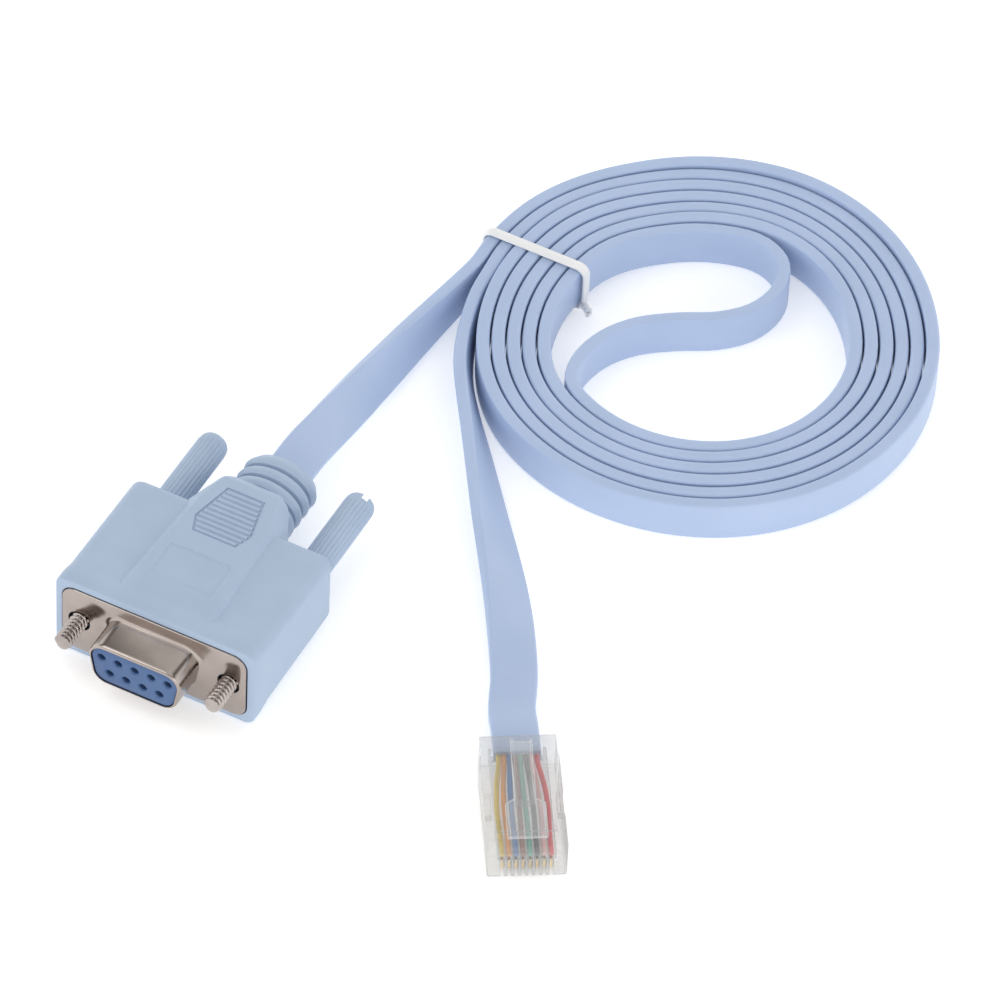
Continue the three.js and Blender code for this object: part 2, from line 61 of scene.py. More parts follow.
# The Mix node's colour sockets go by number, because its number sockets have the same names.
MIX_FACTOR, MIX_FIRST, MIX_SECOND, MIX_RESULT = 0, 6, 7, 2

Colour = tuple[float, float, float]
Point = tuple[float, float, float]


class Side(Enum):
    """The two thumbscrews, by the sign of their X place."""

    LEFT = -1
    RIGHT = 1

    @property
    def word(self) -> str:
        """The word used in names."""
        return self.name.lower()


class Cut(Enum):
    """How one solid is combined with others."""

    UNION = "UNION"
    DIFFERENCE = "DIFFERENCE"


class Field:
    """A shader number that Python's operators work on, each adding a Math node."""

    def __init__(self, graph: "Graph", socket: bpy.types.NodeSocket) -> None:
        """Keep the graph that new nodes go into, and the socket that holds the number."""
        self.graph = graph
        self.socket = socket

    def _math(self, operation: str, *values: "Field | float") -> "Field":
        """Add one Math node.

        Args:
            operation: the Math node's operation.
            values: its inputs, in order.

        Returns:
            The node's result.
        """
        node = self.graph.node("ShaderNodeMath", {"operation": operation}, dict(enumerate(values)))
        return Field(self.graph, node.outputs[0])

    def __add__(self, other: "Field | float") -> "Field":
        """Sum."""
        return self._math("ADD", self, other)

    def __radd__(self, other: float) -> "Field":
        """Sum with a number on the left."""
        return self._math("ADD", other, self)

    def __sub__(self, other: "Field | float") -> "Field":
        """Difference."""
        return self._math("SUBTRACT", self, other)

    def __rsub__(self, other: float) -> "Field":
        """Difference from a number on the left."""
        return self._math("SUBTRACT", other, self)

    def __mul__(self, other: "Field | float") -> "Field":
        """Product."""
        return self._math("MULTIPLY", self, other)

    def __rmul__(self, other: float) -> "Field":
        """Product with a number on the left."""
        return self._math("MULTIPLY", other, self)

    def sine(self) -> "Field":
        """Sine of the number, in radians."""
        return self._math("SINE", self)

    def smoothed(self, low: float, high: float) -> "Field":
        """0 below low, 1 above high, and smooth between.

        Args:
            low: the number that gives 0.
            high: the number that gives 1.

        Returns:
            The smoothed number.
        """
        settings = {"interpolation_type": "SMOOTHSTEP"}
        limits = {"Value": self, "From Min": low, "From Max": high}
        node = self.graph.node("ShaderNodeMapRange", settings, limits)
        return Field(self.graph, node.outputs["Result"])


class Graph:
    """The node tree of one material, or of the world."""

    def __init__(self, owner: bpy.types.Material | bpy.types.World) -> None:
        """Empty the node tree of a new material or world.

        Args:
            owner: the material or world.
        """
        owner.use_nodes = True
        self.owner = owner
        self.tree = owner.node_tree
        self.tree.nodes.clear()

    def node(self, kind: str, settings: dict | None = None, inputs: dict | None = None) -> bpy.types.Node:
        """Add a node.

        Args:
            kind: the node's type.
            settings: its properties, set first; "stops" are a ramp's (place, colour) pairs.
            inputs: values or links, by the socket's name or number.

        Returns:
            The node.
        """
        made = self.tree.nodes.new(kind)
        for key, value in (settings or {}).items():
            if key == "stops":
                set_stops(made.color_ramp, value)
            else:
                setattr(made, key, value)
        for key, value in (inputs or {}).items():
            target = made.inputs[key]
            if isinstance(value, Field):
                self.tree.links.new(value.socket, target)
            elif isinstance(value, bpy.types.NodeSocket):
                self.tree.links.new(value, target)
            elif isinstance(value, tuple) and target.type == "RGBA":
                target.default_value = (*value, 1.0)
            else:
                target.default_value = value
        return made

    def place(self) -> bpy.types.NodeSocket:
        """Object coordinates, in metres."""
        return self.node("ShaderNodeTexCoord").outputs["Object"]

    def stretched(self, scale: Point) -> bpy.types.NodeSocket:
        """Object coordinates, scaled by a factor along each axis."""
        mapping = self.node("ShaderNodeMapping", None, {"Vector": self.place(), "Scale": scale})
        return mapping.outputs["Vector"]

    def uv(self, name: str) -> tuple[Field, Field]:
        """The two numbers of a UV map.

        Args:
            name: the UV map's name.

        Returns:
            U and V.
        """
        uv_map = self.node("ShaderNodeUVMap", {"uv_map": name})
        parts = self.node("ShaderNodeSeparateXYZ", None, {0: uv_map.outputs[0]})
        return Field(self, parts.outputs[0]), Field(self, parts.outputs[1])

    def facing(self) -> Field:
        """0 where the surface faces the eye, and 1 where it turns away."""
        return Field(self, self.node("ShaderNodeLayerWeight", None, {"Blend": 0.5}).outputs["Facing"])

    def noise(self, size: float, detail: float = 2.0, vector: bpy.types.NodeSocket | None = None) -> Field:
        """Noise whose features are about size millimetres across."""
        inputs = {"Vector": vector or self.place(), "Scale": 1 / (size * MM), "Detail": detail}
        return Field(self, self.node("ShaderNodeTexNoise", None, inputs).outputs["Fac"])

    def tint(self, factor: Field, first: Colour, second: Colour) -> bpy.types.NodeSocket:
        """A colour between two, by a factor."""
        inputs = {MIX_FACTOR: factor, MIX_FIRST: first, MIX_SECOND: second}
        return self.node("ShaderNodeMix", {"data_type": "RGBA"}, inputs).outputs[MIX_RESULT]

    def bump(self, height: Field, depth: float, strength: float = 1.0) -> bpy.types.NodeSocket:
        """A normal from a height of 0 to 1 that stands for depth millimetres."""
        inputs = {"Height": height, "Distance": depth * MM, "Strength": strength}
        return self.node("ShaderNodeBump", None, inputs).outputs["Normal"]

    def finish(self, inputs: dict) -> bpy.types.Material:
        """Close the tree with a Principled shader of those inputs, and return the material.

        Args:
            inputs: values or links, by the shader's socket names.

        Returns:
            The material.
        """
        shader = self.node("ShaderNodeBsdfPrincipled", None, inputs)
        self.node("ShaderNodeOutputMaterial", None, {"Surface": shader.outputs[0]})
        return self.owner


def set_stops(ramp: bpy.types.ColorRamp, stops: Sequence[tuple[float, Colour]]) -> None:
    """Give a new ramp its stops, the first and the last of which are the two that it has.

    Args:
        ramp: the ramp of a node just made.
        stops: its (place, colour) pairs, from left to right.
    """
    for element, (place, colour) in zip(ramp.elements, (stops[0], stops[-1])):
        element.position = place
        element.color = (*colour, 1.0)
    for place, colour in stops[1:-1]:
        ramp.elements.new(place).color = (*colour, 1.0)


def glow(weight: float) -> dict:
    """The shader inputs of a plastic that light goes a few millimetres into.

    Args:
        weight: how much of the light goes in, 0 to 1.

    Returns:
        The inputs, by the sockets' names.
    """
    return {
        "Subsurface Weight": weight,
        "Subsurface Radius": (0.002, 0.002, 0.003),
        "Subsurface Scale": 0.5,
    }


@dataclass(frozen=True)
class MouldedPlastic:
    """A moulded plastic with a fine grain and soft clouds of a second colour."""

    name: str
    colour: Colour
    cloud: Colour
    roughness: float = 0.5
    grain: float = 0.22
    relief: float = 0.012
    subsurface: float = 0.0

    def material(self) -> bpy.types.Material:
        """Build the material.

        Returns:
            The material.
        """
        graph = Graph(bpy.data.materials.new(self.name))
        clouds = graph.noise(7.0, 3.0)
        grain = graph.noise(self.grain, 2.0)
        roughness = self.roughness + (grain - 0.5) * 0.12 + (clouds - 0.5) * 0.08
        return graph.finish(
            {
                "Base Color": graph.tint(clouds.smoothed(0.3, 0.7), self.colour, self.cloud),
                "Roughness": roughness,
                **glow(self.subsurface),
                "Normal": graph.bump(grain, self.relief),
            }
        )


@dataclass(frozen=True)
class SheathPlastic:
    """The flat cable's sheath, with the faint ridges of the cores inside it."""

    name: str
    colour: Colour
    cloud: Colour
    cores: int = 8
    roughness: float = 0.42
    subsurface: float = 0.08
    relief: float = 0.02

    def material(self) -> bpy.types.Material:
        """Build the material; the UV map runs 0 to 1 across the width and in metres along the cable.

        Returns:
            The material.
        """
        graph = Graph(bpy.data.materials.new(self.name))
        across, _ = graph.uv("sheath")
        clouds = graph.noise(11.0, 2.0)
        grain = graph.noise(0.3, 2.0)
        ridges = (across * (2 * math.pi * self.cores)).sine() * 0.5 + 0.5
        height = ridges * 0.72 + grain * 0.28
        return graph.finish(
            {
                "Base Color": graph.tint(clouds.smoothed(0.3, 0.7), self.colour, self.cloud),
                "Roughness": self.roughness + (grain - 0.5) * 0.1 + (clouds - 0.5) * 0.06,
                **glow(self.subsurface),
                "Normal": graph.bump(height, self.relief, 0.5),
            }
        )


@dataclass(frozen=True)
class PlatedMetal:
    """A plated metal with drawn streaks and cloudy roughness."""

    name: str
    colour: Colour
    shade: Colour
    roughness: float = 0.25
    streak: float = 0.5

    def material(self) -> bpy.types.Material:
        """Build the material.

        Returns:
            The material.
        """
        graph = Graph(bpy.data.materials.new(self.name))
        streaks = graph.noise(self.streak, 3.0, graph.stretched((0.12, 1.0, 1.0)))
        clouds = graph.noise(4.0, 2.0)
        return graph.finish(
            {
                "Base Color": graph.tint(clouds.smoothed(0.25, 0.75), self.colour, self.shade),
                "Metallic": 1.0,
                "Roughness": self.roughness + (streaks - 0.5) * 0.12 + (clouds - 0.5) * 0.1,
                "Normal": graph.bump(streaks, 0.004, 0.4),
            }
        )


@dataclass(frozen=True)
class ClearPlastic:
    """Clear moulded polycarbonate: thin walls, more opaque towards their edges, whose colour is painted
    towards a second colour at grazing angles, standing in for the light and shade that refraction gives
    their edges.
    """

    name: str
    colour: Colour
    # The second colour is painted edge light: painted in where the surface turns away from the eye.
    painted_grazing_colour: Colour
    roughness: float = 0.07
    face_alpha: float = 0.2
    edge_alpha: float = 0.72

    def material(self) -> bpy.types.Material:
        """Build the material.

        Returns:
            The material.
        """
        graph = Graph(bpy.data.materials.new(self.name))
        flow = graph.noise(2.4, 2.0, graph.stretched((1.0, 0.35, 1.0)))
        facing = graph.facing()
        edge = facing * facing
        return graph.finish(
            {
                # Painted light: where the surface turns from the eye, its colour moves to the second colour.
                # This is painted shade for the body's grey refraction edges and a painted highlight for the
                # latch's bright edges.
                "Base Color": graph.tint(edge, self.colour, self.painted_grazing_colour),
                "Roughness": self.roughness + flow * 0.06,
                "Alpha": self.face_alpha + edge * (self.edge_alpha - self.face_alpha) + (flow - 0.5) * 0.08,
                "Normal": graph.bump(flow, 0.01, 0.4),
            }
        )


HOOD_FINISH = MouldedPlastic("hood_pvc", (0.36, 0.455, 0.595), (0.38, 0.475, 0.615), roughness=0.5)
KNOB_FINISH = MouldedPlastic("knob_pvc", (0.355, 0.45, 0.585), (0.385, 0.48, 0.62), roughness=0.48)
INSULATOR_FINISH = MouldedPlastic(
    "insulator_blue", (0.046, 0.105, 0.25), (0.053, 0.118, 0.268), roughness=0.38, grain=0.15
)
TIE_FINISH = MouldedPlastic(
    "tie_white",
    (0.78, 0.79, 0.80),
    (0.84, 0.84, 0.84),
    roughness=0.35,
    grain=0.3,
    relief=0.01,
    subsurface=0.1,
)
CABLE_FINISH = SheathPlastic("cable_sheath", (0.40, 0.50, 0.695), (0.42, 0.52, 0.72))
NICKEL_FINISH = PlatedMetal("nickel_plate", (0.43, 0.375, 0.345), (0.385, 0.335, 0.305), roughness=0.17)
STEEL_FINISH = PlatedMetal(
    "screw_plate", (0.50, 0.45, 0.425), (0.36, 0.32, 0.305), roughness=0.13, streak=0.2
)
GOLD_FINISH = PlatedMetal("contact_gold", (0.82, 0.68, 0.44), (0.74, 0.60, 0.38), roughness=0.25, streak=0.2)
# The body's darker second colour is painted shade at its edges. The latch's paler second colour is a painted
# highlight along its edges and rails.
CLEAR_FINISH = ClearPlastic(
    "clear_polycarbonate", (0.54, 0.545, 0.54), (0.31, 0.315, 0.31), 0.06, face_alpha=0.17, edge_alpha=0.9
)
LATCH_FINISH = ClearPlastic(
    "clear_latch", (0.80, 0.81, 0.82), (0.92, 0.93, 0.93), 0.06, face_alpha=0.1, edge_alpha=1.0
)


class Workpiece:
    """A bmesh in millimetres, shaped by operators and finished as a piece."""

    def __init__(self) -> None:
        """Start empty."""
        self.bm = bmesh.new()

    def box(self, low: Point, high: Point) -> "Workpiece":
        """Add a box between two corners.

        Args:
            low: its lowest corner.
            high: its highest corner.

        Returns:
            This workpiece.
        """
        size = Vector(high) - Vector(low)
        centre = (Vector(high) + Vector(low)) / 2
        place = Matrix.Translation(centre) @ Matrix.Diagonal((*size, 1.0))
        bmesh.ops.create_cube(self.bm, size=1.0, matrix=place)
        return self

    def rod(self, radius: float, start: float, end: float, sides: int, x: float) -> "Workpiece":
        """Add a cylinder along Y, from start to end, at an X place.

        Args:
            radius: its radius.
            start: its front end.
            end: its rear end.
            sides: how many sides it has.
            x: where its axis is.

        Returns:
            This workpiece.
        """
        turn = Matrix.Rotation(math.radians(90), 4, "X")
        bmesh.ops.create_cone(
            self.bm,
            cap_ends=True,
            segments=sides,
            radius1=radius,
            radius2=radius,
            depth=end - start,
            matrix=Matrix.Translation((x, (start + end) / 2, 0)) @ turn,
        )
        return self

    def turned(self, profile: Sequence[tuple[float, float]], sides: int) -> "Workpiece":
        """Add a solid of revolution round Y, from (radius, y) points that start and end on the axis.

        Args:
            profile: the points, in order.
            sides: how many steps the turn has.

        Returns:
            This workpiece.
        """
        line = [self.bm.verts.new((radius, y, 0)) for radius, y in profile]
        edges = [self.bm.edges.new(pair) for pair in zip(line, line[1:])]
        bmesh.ops.spin(
            self.bm,
            geom=line + edges,
            cent=(0, 0, 0),
            axis=(0, 1, 0),
            angle=2 * math.pi,
            steps=sides,
            use_merge=True,
        )
        bmesh.ops.remove_doubles(self.bm, verts=self.bm.verts, dist=1e-4)
        self.outward()
        return self

    def lofted(self, rings: Sequence[Sequence[Vector]], closed: bool = False) -> "Workpiece":
        """Add a skin over rings of equal counts.

        Args:
            rings: the rings' points, in order.
            closed: whether the last ring joins the first instead of both being capped.

        Returns:
            This workpiece.
        """
        first = [self.bm.verts.new(point) for point in rings[0]]
        edges = [self.bm.edges.new((a, b)) for a, b in zip(first, first[1:] + first[:1])]
        if not closed:
            self.bm.faces.new(first)
        start, loop = edges, first
        for ring in rings[1:]:
            made = bmesh.ops.extrude_edge_only(self.bm, edges=edges)["geom"]
            joined = {v for v in made if isinstance(v, bmesh.types.BMVert)}
            steps = [next(e.other_vert(v) for e in v.link_edges if e.other_vert(v) in joined) for v in loop]
            for vert, point in zip(steps, ring):
                vert.co = point
            loop = steps
            edges = [self.bm.edges.get((a, b)) for a, b in zip(loop, loop[1:] + loop[:1])]
        if closed:
            bmesh.ops.bridge_loops(self.bm, edges=edges + start)
        else:
            self.bm.faces.new(loop)
        self.outward()
        return self

    def outward(self) -> "Workpiece":
        """Point every face out."""
        bmesh.ops.recalc_face_normals(self.bm, faces=self.bm.faces)
        return self

    def bevel(self, width: float, segments: int, where: Callable[[bmesh.types.BMEdge], bool]) -> "Workpiece":
        """Round the edges that a test picks.

        Args:
            width: the bevel's width.
            segments: how many steps it has.
            where: the test, which is given each edge.

        Returns:
            This workpiece.
        """
        edges = [edge for edge in self.bm.edges if where(edge)]
        bmesh.ops.bevel(
            self.bm,
            geom=edges,
            offset=width,
            offset_type="OFFSET",
            affect="EDGES",
            segments=segments,
            profile=0.5,
            material=-1,
            clamp_overlap=True,
        )
        return self

    def moved(self, matrix: Matrix) -> "Workpiece":
        """Transform everything made so far."""
        bmesh.ops.transform(self.bm, matrix=matrix, verts=self.bm.verts)
        return self

    def mesh(self, name: str) -> bpy.types.Mesh:
        """Turn the bmesh into a mesh, still in millimetres, and free it.

        Args:
            name: the mesh's name.

        Returns:
            The mesh.
        """
        made = bpy.data.meshes.new(name)
        self.bm.normal_update()
        self.bm.to_mesh(made)
        self.bm.free()
        return made


def sharp_edges(angle: float) -> Callable[[bmesh.types.BMEdge], bool]:
    """A test for edges whose faces meet at more than an angle, in degrees."""
    limit = math.radians(angle)
    return lambda edge: len(edge.link_faces) == 2 and edge.calc_face_angle(0.0) > limit


def combined(base: bpy.types.Mesh, others: Iterable[bpy.types.Mesh], cut: Cut) -> bpy.types.Mesh:
    """Combine a mesh with others by booleans.

    Args:
        base: the mesh to start from.
        others: the meshes to add or take away.
        cut: which of the two it is.

    Returns:
        The new mesh.
    """
    holder = bpy.data.objects.new("boolean_base", base)
    bpy.context.scene.collection.objects.link(holder)
    tools = []
    for other in others:
        tool = bpy.data.objects.new("boolean_tool", other)
        bpy.context.scene.collection.objects.link(tool)
        modifier = holder.modifiers.new("cut", "BOOLEAN")
        modifier.operation = cut.value
        modifier.solver = "EXACT"
        modifier.object = tool
        tools.append(tool)
    graph = bpy.context.evaluated_depsgraph_get()
    result = bpy.data.meshes.new_from_object(holder.evaluated_get(graph))
    for made in [holder, *tools]:
        bpy.data.objects.remove(made)
    return result


@dataclass
class Assembly:
    """What every sub-assembly shares: its place, its body and how its pieces are finished."""

    body: str
    place: Matrix

    def piece(
        self,
        mesh: bpy.types.Mesh,
        name: str,
        material: bpy.types.Material,
        slot: str,
        stands_for: Sequence[str] = (),
        body: str | None = None,
        smooth_below: float = 32.0,
    ) -> bpy.types.Object:
        """Finish a mesh as a piece of the object.

        Args:
            mesh: the mesh, in millimetres in this assembly's frame.
            name: the piece's name.
            material: its material.
            slot: the record's material slot; not used.
            stands_for: the CAD nodes that it replaces.
            body: the body that it rides on, where it isn't the assembly's own.
            smooth_below: faces that meet at less than this angle are shaded smooth.

        Returns:
            The object.
        """
        mesh.transform(Matrix.Scale(MM, 4) @ self.place)
        mesh.name = name
        mesh.materials.clear()
        mesh.materials.append(material)
        mesh.shade_smooth()
        mesh.set_sharp_from_angle(angle=math.radians(smooth_below))
        made = bpy.data.objects.new(name, mesh)
        bpy.context.scene.collection.objects.link(made)
        if stands_for:
            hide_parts(*stands_for)
        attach(made, body or self.body)
        LOG.info("%s: %d faces", name, len(mesh.polygons))
        return made


def rounded_rectangle(width: float, height: float, radius: float, arc: int = 6) -> list[tuple[float, float]]:
    """The outline of a rectangle with round corners, anticlockwise from the lower right.

    Args:
        width: its whole width.
        height: its whole height.
        radius: the corners' radius.
        arc: how many steps each corner has.

    Returns:
        The outline's points.
    """
    points = []
    for turn, (sx, sy) in enumerate(((1, -1), (1, 1), (-1, 1), (-1, -1))):
        for step in range(arc + 1):
            angle = math.radians(-90 + 90 * turn + 90 * step / arc)
            x = sx * (width / 2 - radius) + radius * math.cos(angle)
            y = sy * (height / 2 - radius) + radius * math.sin(angle)
            points.append((x, y))
    return points


def mirrored(right: Sequence[tuple[float, float]]) -> list[tuple[float, float]]:
    """An outline from its right half, whose points run from one end of the middle line to the other."""
    return [*right, *[(-x, y) for x, y in reversed(right)]]


def smooth(value: float) -> float:
    """0 below 0, 1 above 1, and smooth between."""
    t = min(max(value, 0.0), 1.0)
    return t * t * (3 - 2 * t)


def through(points: Sequence[Vector], spacing: float) -> list[Vector]:
    """A smooth line through points, as a centripetal Catmull-Rom curve.

    Args:
        points: the points that it passes through.
        spacing: about how far apart its own points are.

    Returns:
        The line's points.
    """
    line = [points[0].copy()]
    padded = [points[0] * 2 - points[1], *points, points[-1] * 2 - points[-2]]
    for p0, p1, p2, p3 in zip(padded, padded[1:], padded[2:], padded[3:]):
        t1 = math.sqrt((p1 - p0).length)
        t2 = t1 + math.sqrt((p2 - p1).length)
        t3 = t2 + math.sqrt((p3 - p2).length)
        count = max(1, round((p2 - p1).length / spacing))
        for step in range(1, count + 1):
            t = t1 + (t2 - t1) * step / count
            a1 = p0 * ((t1 - t) / t1) + p1 * (t / t1)
            a2 = p1 * ((t2 - t) / (t2 - t1)) + p2 * ((t - t1) / (t2 - t1))
            a3 = p2 * ((t3 - t) / (t3 - t2)) + p3 * ((t - t2) / (t3 - t2))
            b1 = a1 * ((t2 - t) / t2) + a2 * (t / t2)
            b2 = a2 * ((t3 - t) / (t3 - t1)) + a3 * ((t - t1) / (t3 - t1))
            line.append(b1 * ((t2 - t) / (t2 - t1)) + b2 * ((t - t1) / (t2 - t1)))
    return line


@dataclass
class Coil:
    """The coil's plan: two arms of the cable, unwound together from the inner turn out."""

    x: float = 41.3
    y: float = 80.4
    inner_turn: float = 23.1
    pitch: float = 2.35
    starts: tuple[float, float] = (100.0, 241.0)
    shift_span: float = 72.0
    leave: float = 1260.0
    step: float = 5.0
    tie_angle: float = 176.2
    tie_lift: float = 1.2
    lift_span: float = 38.0
    lift_crown: float = 1.25
    ripple: float = 0.32
    ripple_rates: tuple[float, float] = (1.31, 1.55)
    ripple_phases: tuple[float, float] = (0.0, 2.1)
    calm_span: float = 60.0
    rise: float = 0.7
    rise_start: float = 235.0
    rise_span: float = 75.0
    fall_end: float = 25.0
    fall_span: float = 70.0

    def joined(self, angle: float) -> float:
        """How many strands have joined inside by an unwound angle.

        Args:
            angle: the angle, in degrees, that goes on growing from turn to turn.

        Returns:
            The count, with a fraction while a strand joins.
        """
        total = 0.0
        for start in self.starts:
            turns = math.floor((angle - start) / 360)
            before_next = start + 360 * (turns + 1) - angle
            total += turns + smooth(1 - before_next / self.shift_span)
        return total

    def radius(self, arm: int, angle: float) -> float:
        """The radius of an arm at an unwound angle."""
        return self.inner_turn + self.pitch * (self.joined(angle) - self.joined(self.starts[arm]))

    def lift(self, x: float, y: float) -> float:
        """How far the coil is held off the floor by the tie beneath it."""
        angle = math.degrees(math.atan2(y - self.y, x - self.x)) % 360
        return self.tie_lift * smooth(self.lift_crown - abs(angle - self.tie_angle) / self.lift_span)

    def at(self, angle: float, radius: float, height: float) -> Vector:
        """A point of the coil.

        Args:
            angle: its angle round the coil, in degrees.
            radius: its radius.
            height: its height, before the tie lifts it.

        Returns:
            The point.
        """
        x = self.x + radius * math.cos(math.radians(angle))
        y = self.y + radius * math.sin(math.radians(angle))
        return Vector((x, y, height + self.lift(x, y)))

    def outer_rise(self, angle: float) -> float:
        """How far the last strand stands above the others along the coil's far side."""
        risen = smooth((angle - self.leave + self.rise_start) / self.rise_span)
        return self.rise * risen * smooth((self.leave - self.fall_end - angle) / self.fall_span)

    def ripple_at(self, arm: int, angle: float) -> float:
        """How far a strand stands off its place, so that the tops of the turns aren't quite level.

        Args:
            arm: which of the two arms.
            angle: the unwound angle, in degrees.

        Returns:
            The height.
        """
        wave = math.sin(math.radians(angle * self.ripple_rates[arm]) + self.ripple_phases[arm])
        calm = smooth((angle - self.starts[arm]) / self.calm_span)
        calm *= smooth((self.leave - angle) / self.calm_span)
        return self.ripple * (0.5 + 0.5 * wave) * calm

    def arm(self, arm: int, lying: float) -> list[Vector]:
        """The points of one arm, from its inner end out to where it leaves.

        Args:
            arm: which of the two arms.
            lying: the centreline's height where it rests on the floor.

        Returns:
            Its points, in order.
        """
        count = round((self.leave - self.starts[arm]) / self.step)
        points = []
        for index in range(count + 1):
            angle = self.starts[arm] + (self.leave - self.starts[arm]) * index / count
            height = lying + self.ripple_at(arm, angle) + (self.outer_rise(angle) if arm == 0 else 0.0)
            points.append(self.at(angle, self.radius(arm, angle), height))
        return points


@dataclass
class Plug:
    """Where the plug lies, and its driving sizes."""

    width: float = 11.68
    length: float = 21.4
    height: float = 6.6
    x: float = 53.6
    y: float = -5.1
    turn: float = 31.7
    cable_depth: float = 1.3
    cable_z: float = 3.3

    def place(self) -> Matrix:
        """The matrix from the plug's frame to the object's, in millimetres."""
        return Matrix.Translation((self.x, self.y, 0)) @ Matrix.Rotation(math.radians(self.turn), 4, "Z")

    def at(self, x: float, y: float, z: float) -> Vector:
        """A point of the plug's frame, in the object's."""
        return self.place() @ Vector((x, y, z))


@dataclass
class FlatCable(Assembly):
    """The one flat cable, from the D connector through the coil to the plug."""

    width: float = 7.0
    thickness: float = 2.05
    edge: float = 0.46
    exit_y: float = 21.9
    axis_z: float = 7.5
    spacing: float = 1.5
    fold_inset: float = 0.2
    fold_run: float = 3.2
    turn_in_power: float = 1.5
    turn_out_power: float = 1.6
    turn_out_share: float = 0.8
    coil: Coil = field(default_factory=Coil)
    plug: Plug = field(default_factory=Plug)

    @property
    def lying(self) -> float:
        """Height of the centreline where the cable stands on its edge on the floor."""
        return self.width / 2

    def db9_tail(self) -> list[Vector]:
        """The route from the coil to the D connector, without its first point on the coil.

        Returns:
            Its points, in order.
        """
        low = self.lying
        route = [
            (3.9, 76.6, low + 0.9),
            (3.1, 71.0, low + 0.6),
            (2.2, 65.0, low + 0.4),
            (1.4, 59.0, low + 0.3),
            (0.8, 53.0, low + 0.4),
            (0.4, 47.0, low + 0.9),
            (0.2, 41.0, low + 1.7),
            (0.1, 35.0, low + 2.7),
            (0.0, 29.0, low + 3.7),
            (0.0, 25.0, self.axis_z - 0.1),
            (0.0, self.exit_y, self.axis_z),
        ]
        return [Vector(point) for point in route]

    def inner_fold(self) -> list[Vector]:
        """The S inside the coil, from the second arm's inner end to the first's.

        Returns:
            Its points, in order.
        """
        low = self.lying
        start, end = self.coil.starts[1], self.coil.starts[0]
        route = [
            (26.6, 66.3, low),
            (26.9, 70.2, low),
            (28.3, 74.2, low),
            (31.2, 78.2, low),
            (35.9, 81.9, low),
            (41.4, 85.3, low),
            (44.9, 89.2, low),
            (46.4, 93.6, low),
            (46.1, 97.8, low),
            (44.2, 101.1, low),
        ]
        inner = self.coil.inner_turn - self.fold_inset * self.coil.pitch
        along = math.degrees(self.fold_run / inner)
        return [
            self.coil.at(start - along, inner, low),
            *[Vector(point) for point in route],
            self.coil.at(end - along, inner, low),
        ]

    def rj45_tail(self) -> list[Vector]:
        """The route from the coil to the plug, without its first point on the coil.

        Returns:
            Its points, in order.
        """
        low = self.lying
        flat = self.thickness / 2
        route = [
            (6.5, 76.5, low + 1.0),
            (6.9, 71.5, low + 0.7),
            (8.1, 66.5, low + 0.4),
            (9.7, 61.9, low + 0.2),
            (11.8, 57.6, low + 0.1),
            (15.1, 52.7, low + 0.1),
            (19.6, 46.6, low + 0.1),
            (24.4, 40.0, low),
            (29.2, 33.4, low - 0.2),
            (33.8, 27.3, low - 0.6),
            (38.0, 21.6, low - 1.3),
            (42.2, 15.2, flat + 0.8),
            (46.1, 8.6, flat + 0.3),
        ]
        mouth = self.plug.cable_z
        entry = [(9, mouth - 1.6), (4, mouth - 0.4), (-self.plug.cable_depth, mouth)]
        return [Vector(point) for point in route] + [self.plug.at(0, y, z) for y, z in entry]

    def route(self) -> tuple[list[Vector], float, float]:
        """The whole centreline.

        Returns:
            Its points from the D connector to the plug, and the lengths of its two tails.
        """
        tail_in = [*reversed(self.db9_tail()), self.coil.arm(0, self.lying)[-1]]
        tail_out = [self.coil.arm(1, self.lying)[-1], *self.rj45_tail()]
        points = [
            *tail_in[:-1],
            *reversed(self.coil.arm(0, self.lying)),
            *reversed(self.inner_fold()),
            *self.coil.arm(1, self.lying),
            *tail_out[1:],
        ]
        lengths = [
            sum((b - a).length for a, b in zip(line, line[1:]))
            for line in (through(tail_in, self.spacing), through(tail_out, self.spacing))
        ]
        return through(points, self.spacing), lengths[0], lengths[1]

    def build(self) -> bpy.types.Object:
        """Sweep the section along the route.

        Returns:
            The sheath's piece.
        """
        line, tail_in, tail_out = self.route()
        total = sum((b - a).length for a, b in zip(line, line[1:]))
        outline = rounded_rectangle(self.thickness, self.width, self.edge, 4)
        rings, along = [], 0.0
        for index, point in enumerate(line):
            before, after = line[max(index - 1, 0)], line[min(index + 1, len(line) - 1)]
            tangent = (after - before).normalized()
            along += (point - line[index - 1]).length if index else 0.0
            turn = math.radians(self.turn_at(along, total, tail_in, tail_out))
            side = Vector((0, 0, 1)).cross(tangent).normalized()
            rise = tangent.cross(side)
            across = side * math.cos(turn) + rise * math.sin(turn)
            broad = rise * math.cos(turn) - side * math.sin(turn)
            rings.append([point + across * x + broad * y for x, y in outline])
        work = Workpiece().lofted(rings)
        self.unwrap(work.bm, outline, len(rings))
        mesh = work.mesh("flat_cable")
        made = self.piece(
            mesh,
            "flat_cable",
            CABLE_FINISH.material(),
            "cable_pvc",
            ["cable_tail_db9", "cable_coil", "cable_inner_fold", "cable_tail_rj45"],
            smooth_below=60,
        )
        self.path = [tuple(point * MM) for point in line]
        self.length = total * MM
        return made

    def unwrap(self, bm: bmesh.types.BMesh, outline: list[tuple[float, float]], rings: int) -> None:
        """Give the sweep a UV map: across the width, and metres along the cable.

        Args:
            bm: the sweep.
            outline: its section's points.
            rings: how many sections it has.
        """
        layer = bm.loops.layers.uv.new("sheath")
        bm.verts.index_update()
        around = len(outline)
        for face in bm.faces:
            for loop in face.loops:
                ring, place = divmod(loop.vert.index, around)
                loop[layer].uv = (0.5 + outline[place][1] / self.width, ring * self.spacing * MM)

